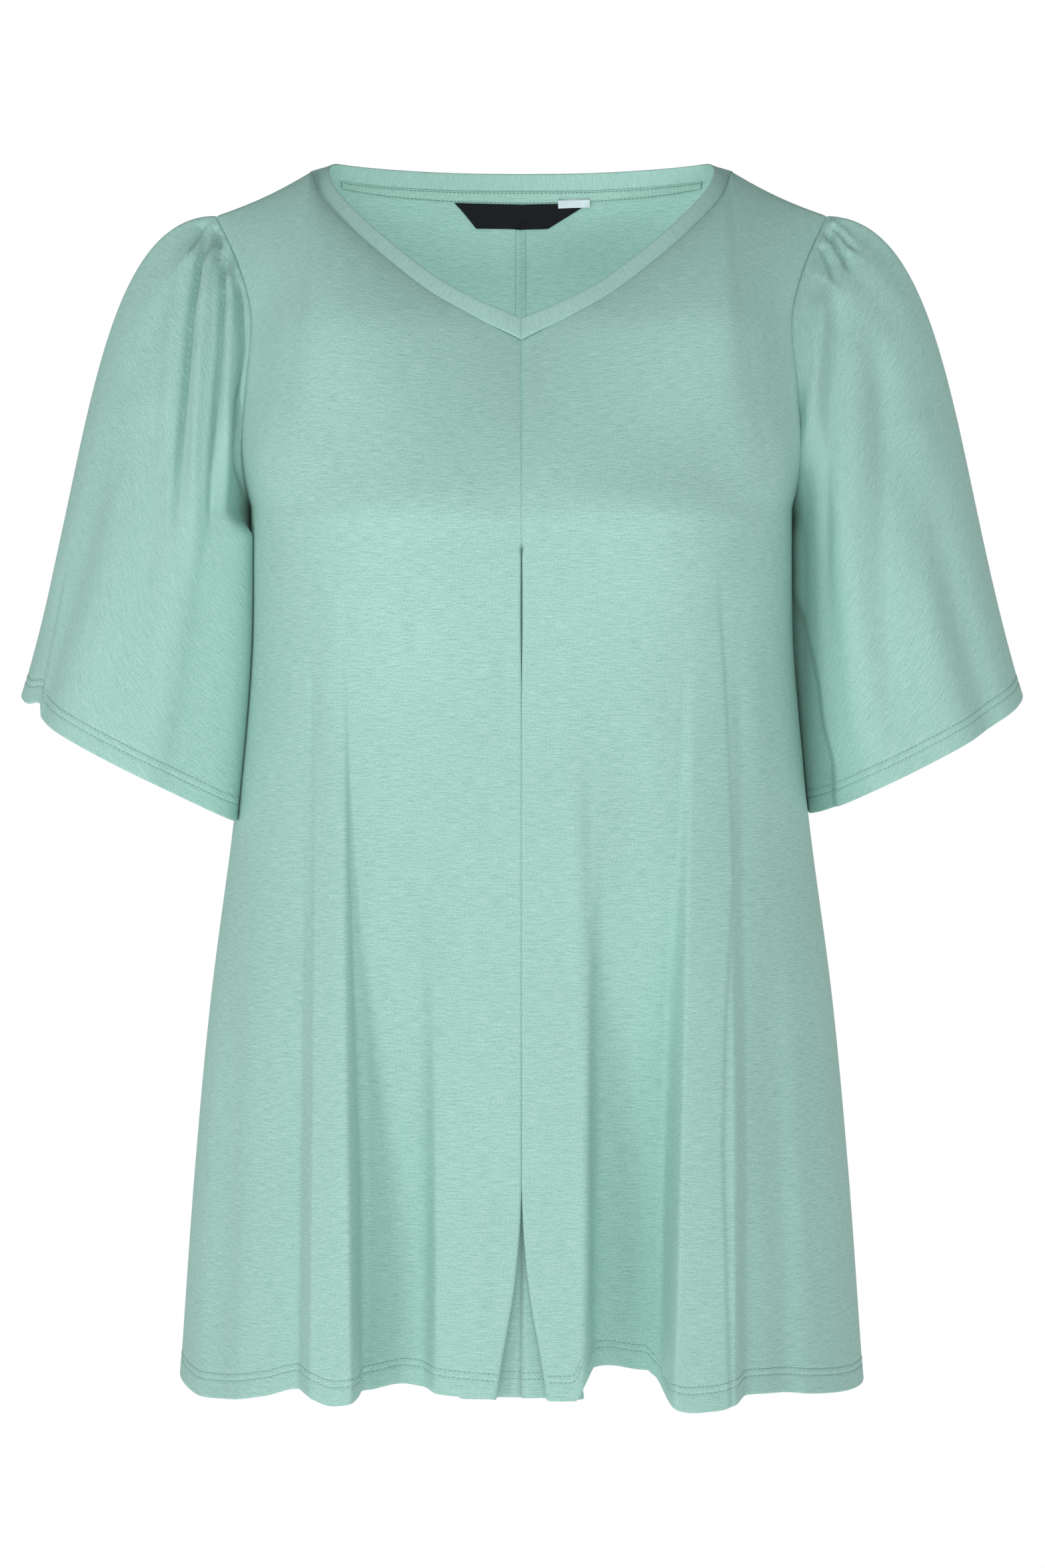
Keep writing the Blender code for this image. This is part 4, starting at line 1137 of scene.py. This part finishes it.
def thread_object(name, bm, material):
    bmesh.ops.recalc_face_normals(bm, faces=bm.faces)
    made = mesh_object(name, bm)
    made.data.shade_smooth()
    made.data.materials.append(material)
    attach(made, "root")


def thread_material(name, colour, dark):
    """Spun thread: fine slanting plies and a slight change of tone from stitch to stitch."""
    material, tree, shader = new_material(name)
    place = add_node(tree, "ShaderNodeTexCoord").outputs["Object"]
    plies = add_node(tree, "ShaderNodeTexWave", {"Vector": place, "Scale": 1400.0, "Distortion": 1.5},
                     bands_direction="DIAGONAL").outputs["Fac"]
    patch = noise(tree, place, 240.0)
    tint = mix_colours(tree, math_node(tree, "MULTIPLY", plies, patch), (*dark, 1), (*colour, 1))
    link_shader(tree, shader, tint, math_node(tree, "MULTIPLY_ADD", patch, 0.3, 0.45), plies, 0.4, 0.00005)
    return material


# The hem and tape thread is darker than the jersey: partly its own colour, partly painted shade for the
# shadow in and around each stitch
sewing_thread_and_shade = thread_material("sewing_thread_and_shade", (0.27, 0.48, 0.43), (0.12, 0.26, 0.23))
for name, (points, out, start) in panels.items():
    bm = bmesh.new()
    for distance in (SLEEVE_NEEDLES if name.startswith("sleeve") else PANEL_NEEDLES):
        line, lean = above_hem(points, out, distance)
        stitches_along(bm, line[start:], lean[start:], HEM_PITCH, (HEM_STITCH, THREAD), lift=THREAD)
        if start:
            stitches_along(bm, line[:7], lean[:7], HEM_PITCH, (HEM_STITCH, THREAD), lift=THREAD)
    thread_object("hem_stitches_" + name, bm, sewing_thread_and_shade)

bm = bmesh.new()
x = np.linspace(-TAPE_HALF + 1, TAPE_HALF - 1, 200)
for drop in (1.1, 8.8):
    line = inside_back(x, drop, 1.90)[0]
    stitches_along(bm, line, pick(x, tape_x, tape_face[6]), 2.6, (2.0, 0.55), lift=0.12)
thread_object("tape_stitches", bm, sewing_thread_and_shade)

bm = bmesh.new()
stitches_along(bm, allowance[:, 3], allowance_face[:, 3], 1.9, (5.6, 0.36), lift=0.38, slant=math.radians(62))
stitches_along(bm, allowance[:, 6], allowance_face[:, 6], 2.6, (2.1, 0.40), lift=0.34)
stitches_along(bm, allowance[:, 0], allowance_face[:, 0], 1.9, (1.8, 0.50), lift=0.20)
overlock_thread = thread_material("overlock_thread", (0.34, 0.57, 0.51), (0.23, 0.43, 0.38))
thread_object("overlock_threads", bm, overlock_thread)

# Camera, floor and light. The camera looks at the front from 3.2 m, two degrees above level.
# A large pale floor lies well below the hem, and broad soft lights stand in front of the garment.
TARGET = Vector((0.0006, 0.0, -0.402))
DISTANCE, RISE = 3.2, math.radians(2.0)
PHOTO_PIXEL, PHOTO_HEIGHT = 0.00043, 2352
camera_data = bpy.data.cameras.new("studio_camera")
camera_data.sensor_fit = "AUTO"
camera_data.sensor_width = 36.0
camera_data.lens = 36.0 * DISTANCE / PHOTO_PIXEL / PHOTO_HEIGHT
stands_at = TARGET + Vector((0, -math.cos(RISE), math.sin(RISE))) * DISTANCE
camera = placed("studio_camera", camera_data, stands_at)
camera.rotation_euler = (math.pi / 2 - RISE, 0, 0)
bpy.context.scene.camera = camera

FLOOR_RADIUS, FLOOR_LEVEL = 30.0, -1.25
bm = bmesh.new()
bmesh.ops.create_circle(bm, cap_ends=True, segments=96, radius=FLOOR_RADIUS)
bmesh.ops.translate(bm, verts=bm.verts, vec=(0, 0, FLOOR_LEVEL))
floor = mesh_object("studio_floor", bm)
floor_paint, tree, shader = new_material("studio_floor")
shader.inputs["Base Color"].default_value = (0.9, 0.9, 0.9, 1)
shader.inputs["Roughness"].default_value = 0.9
place = add_node(tree, "ShaderNodeTexCoord").outputs["Object"]
reach = add_node(tree, "ShaderNodeVectorMath", {0: place}, operation="LENGTH").outputs["Value"]
fade = add_node(tree, "ShaderNodeMapRange", {"Value": reach, "From Min": 0.9, "From Max": 1.6})
glow = add_node(tree, "ShaderNodeEmission", {"Color": (1, 1, 1, 1), "Strength": 1.0})
blend = add_node(tree, "ShaderNodeMixShader", {0: fade.outputs[0], 1: shader.outputs[0], 2: glow.outputs[0]})
tree.links.new(blend.outputs[0], tree.nodes["Material Output"].inputs["Surface"])
floor.data.materials.append(floor_paint)

Lamp = namedtuple("Lamp", "x y z width height watts")
LAMPS = table(Lamp,
    (-2.1, -2.4, -0.65, 0.8, 0.9, 23.0),
    (0.4, -3.4, -1.05, 1.0, 0.7, 24.0),
    (2.0, -2.5, -0.70, 1.0, 1.2, 6.0),
    (-0.4, -3.0, 1.10, 1.2, 0.8, 18.0),
    (0.0, 2.6, 0.60, 2.4, 1.6, 8.0),
)
for number, lamp in enumerate(LAMPS):
    light = bpy.data.lights.new("studio_light_%d" % number, "AREA")
    light.shape, light.size, light.size_y, light.energy = "RECTANGLE", lamp.width, lamp.height, lamp.watts
    stand = placed(light.name, light, (lamp.x, lamp.y, lamp.z))
    stand.rotation_euler = (TARGET - stand.location).to_track_quat("-Z", "Y").to_euler()
# The thin jersey glows inside from the light on its front; a small lamp in the hollow stands for that
glow_lamp = bpy.data.lights.new("inside_glow", "AREA")
glow_lamp.size, glow_lamp.energy = 0.12, 0.27
glow_stand = placed("inside_glow", glow_lamp, (0.0, -0.060, -0.24))
glow_stand.rotation_euler = Vector((0.0, 0.135, 0.17)).to_track_quat("-Z", "Y").to_euler()
glow_stand.visible_camera = False

world = bpy.data.worlds.new("studio")
world.use_nodes = True
tree = world.node_tree
tree.nodes.clear()
seen = add_node(tree, "ShaderNodeBackground", {"Color": (1, 1, 1, 1), "Strength": 1.0})
lit = add_node(tree, "ShaderNodeBackground", {"Color": (1, 1, 1, 1), "Strength": 0.25})
path = add_node(tree, "ShaderNodeLightPath").outputs["Is Camera Ray"]
blend = add_node(tree, "ShaderNodeMixShader", {0: path, 1: lit.outputs[0], 2: seen.outputs[0]})
add_node(tree, "ShaderNodeOutputWorld", {"Surface": blend.outputs[0]})
bpy.context.scene.world = world
bpy.context.scene.view_settings.view_transform = "Standard"
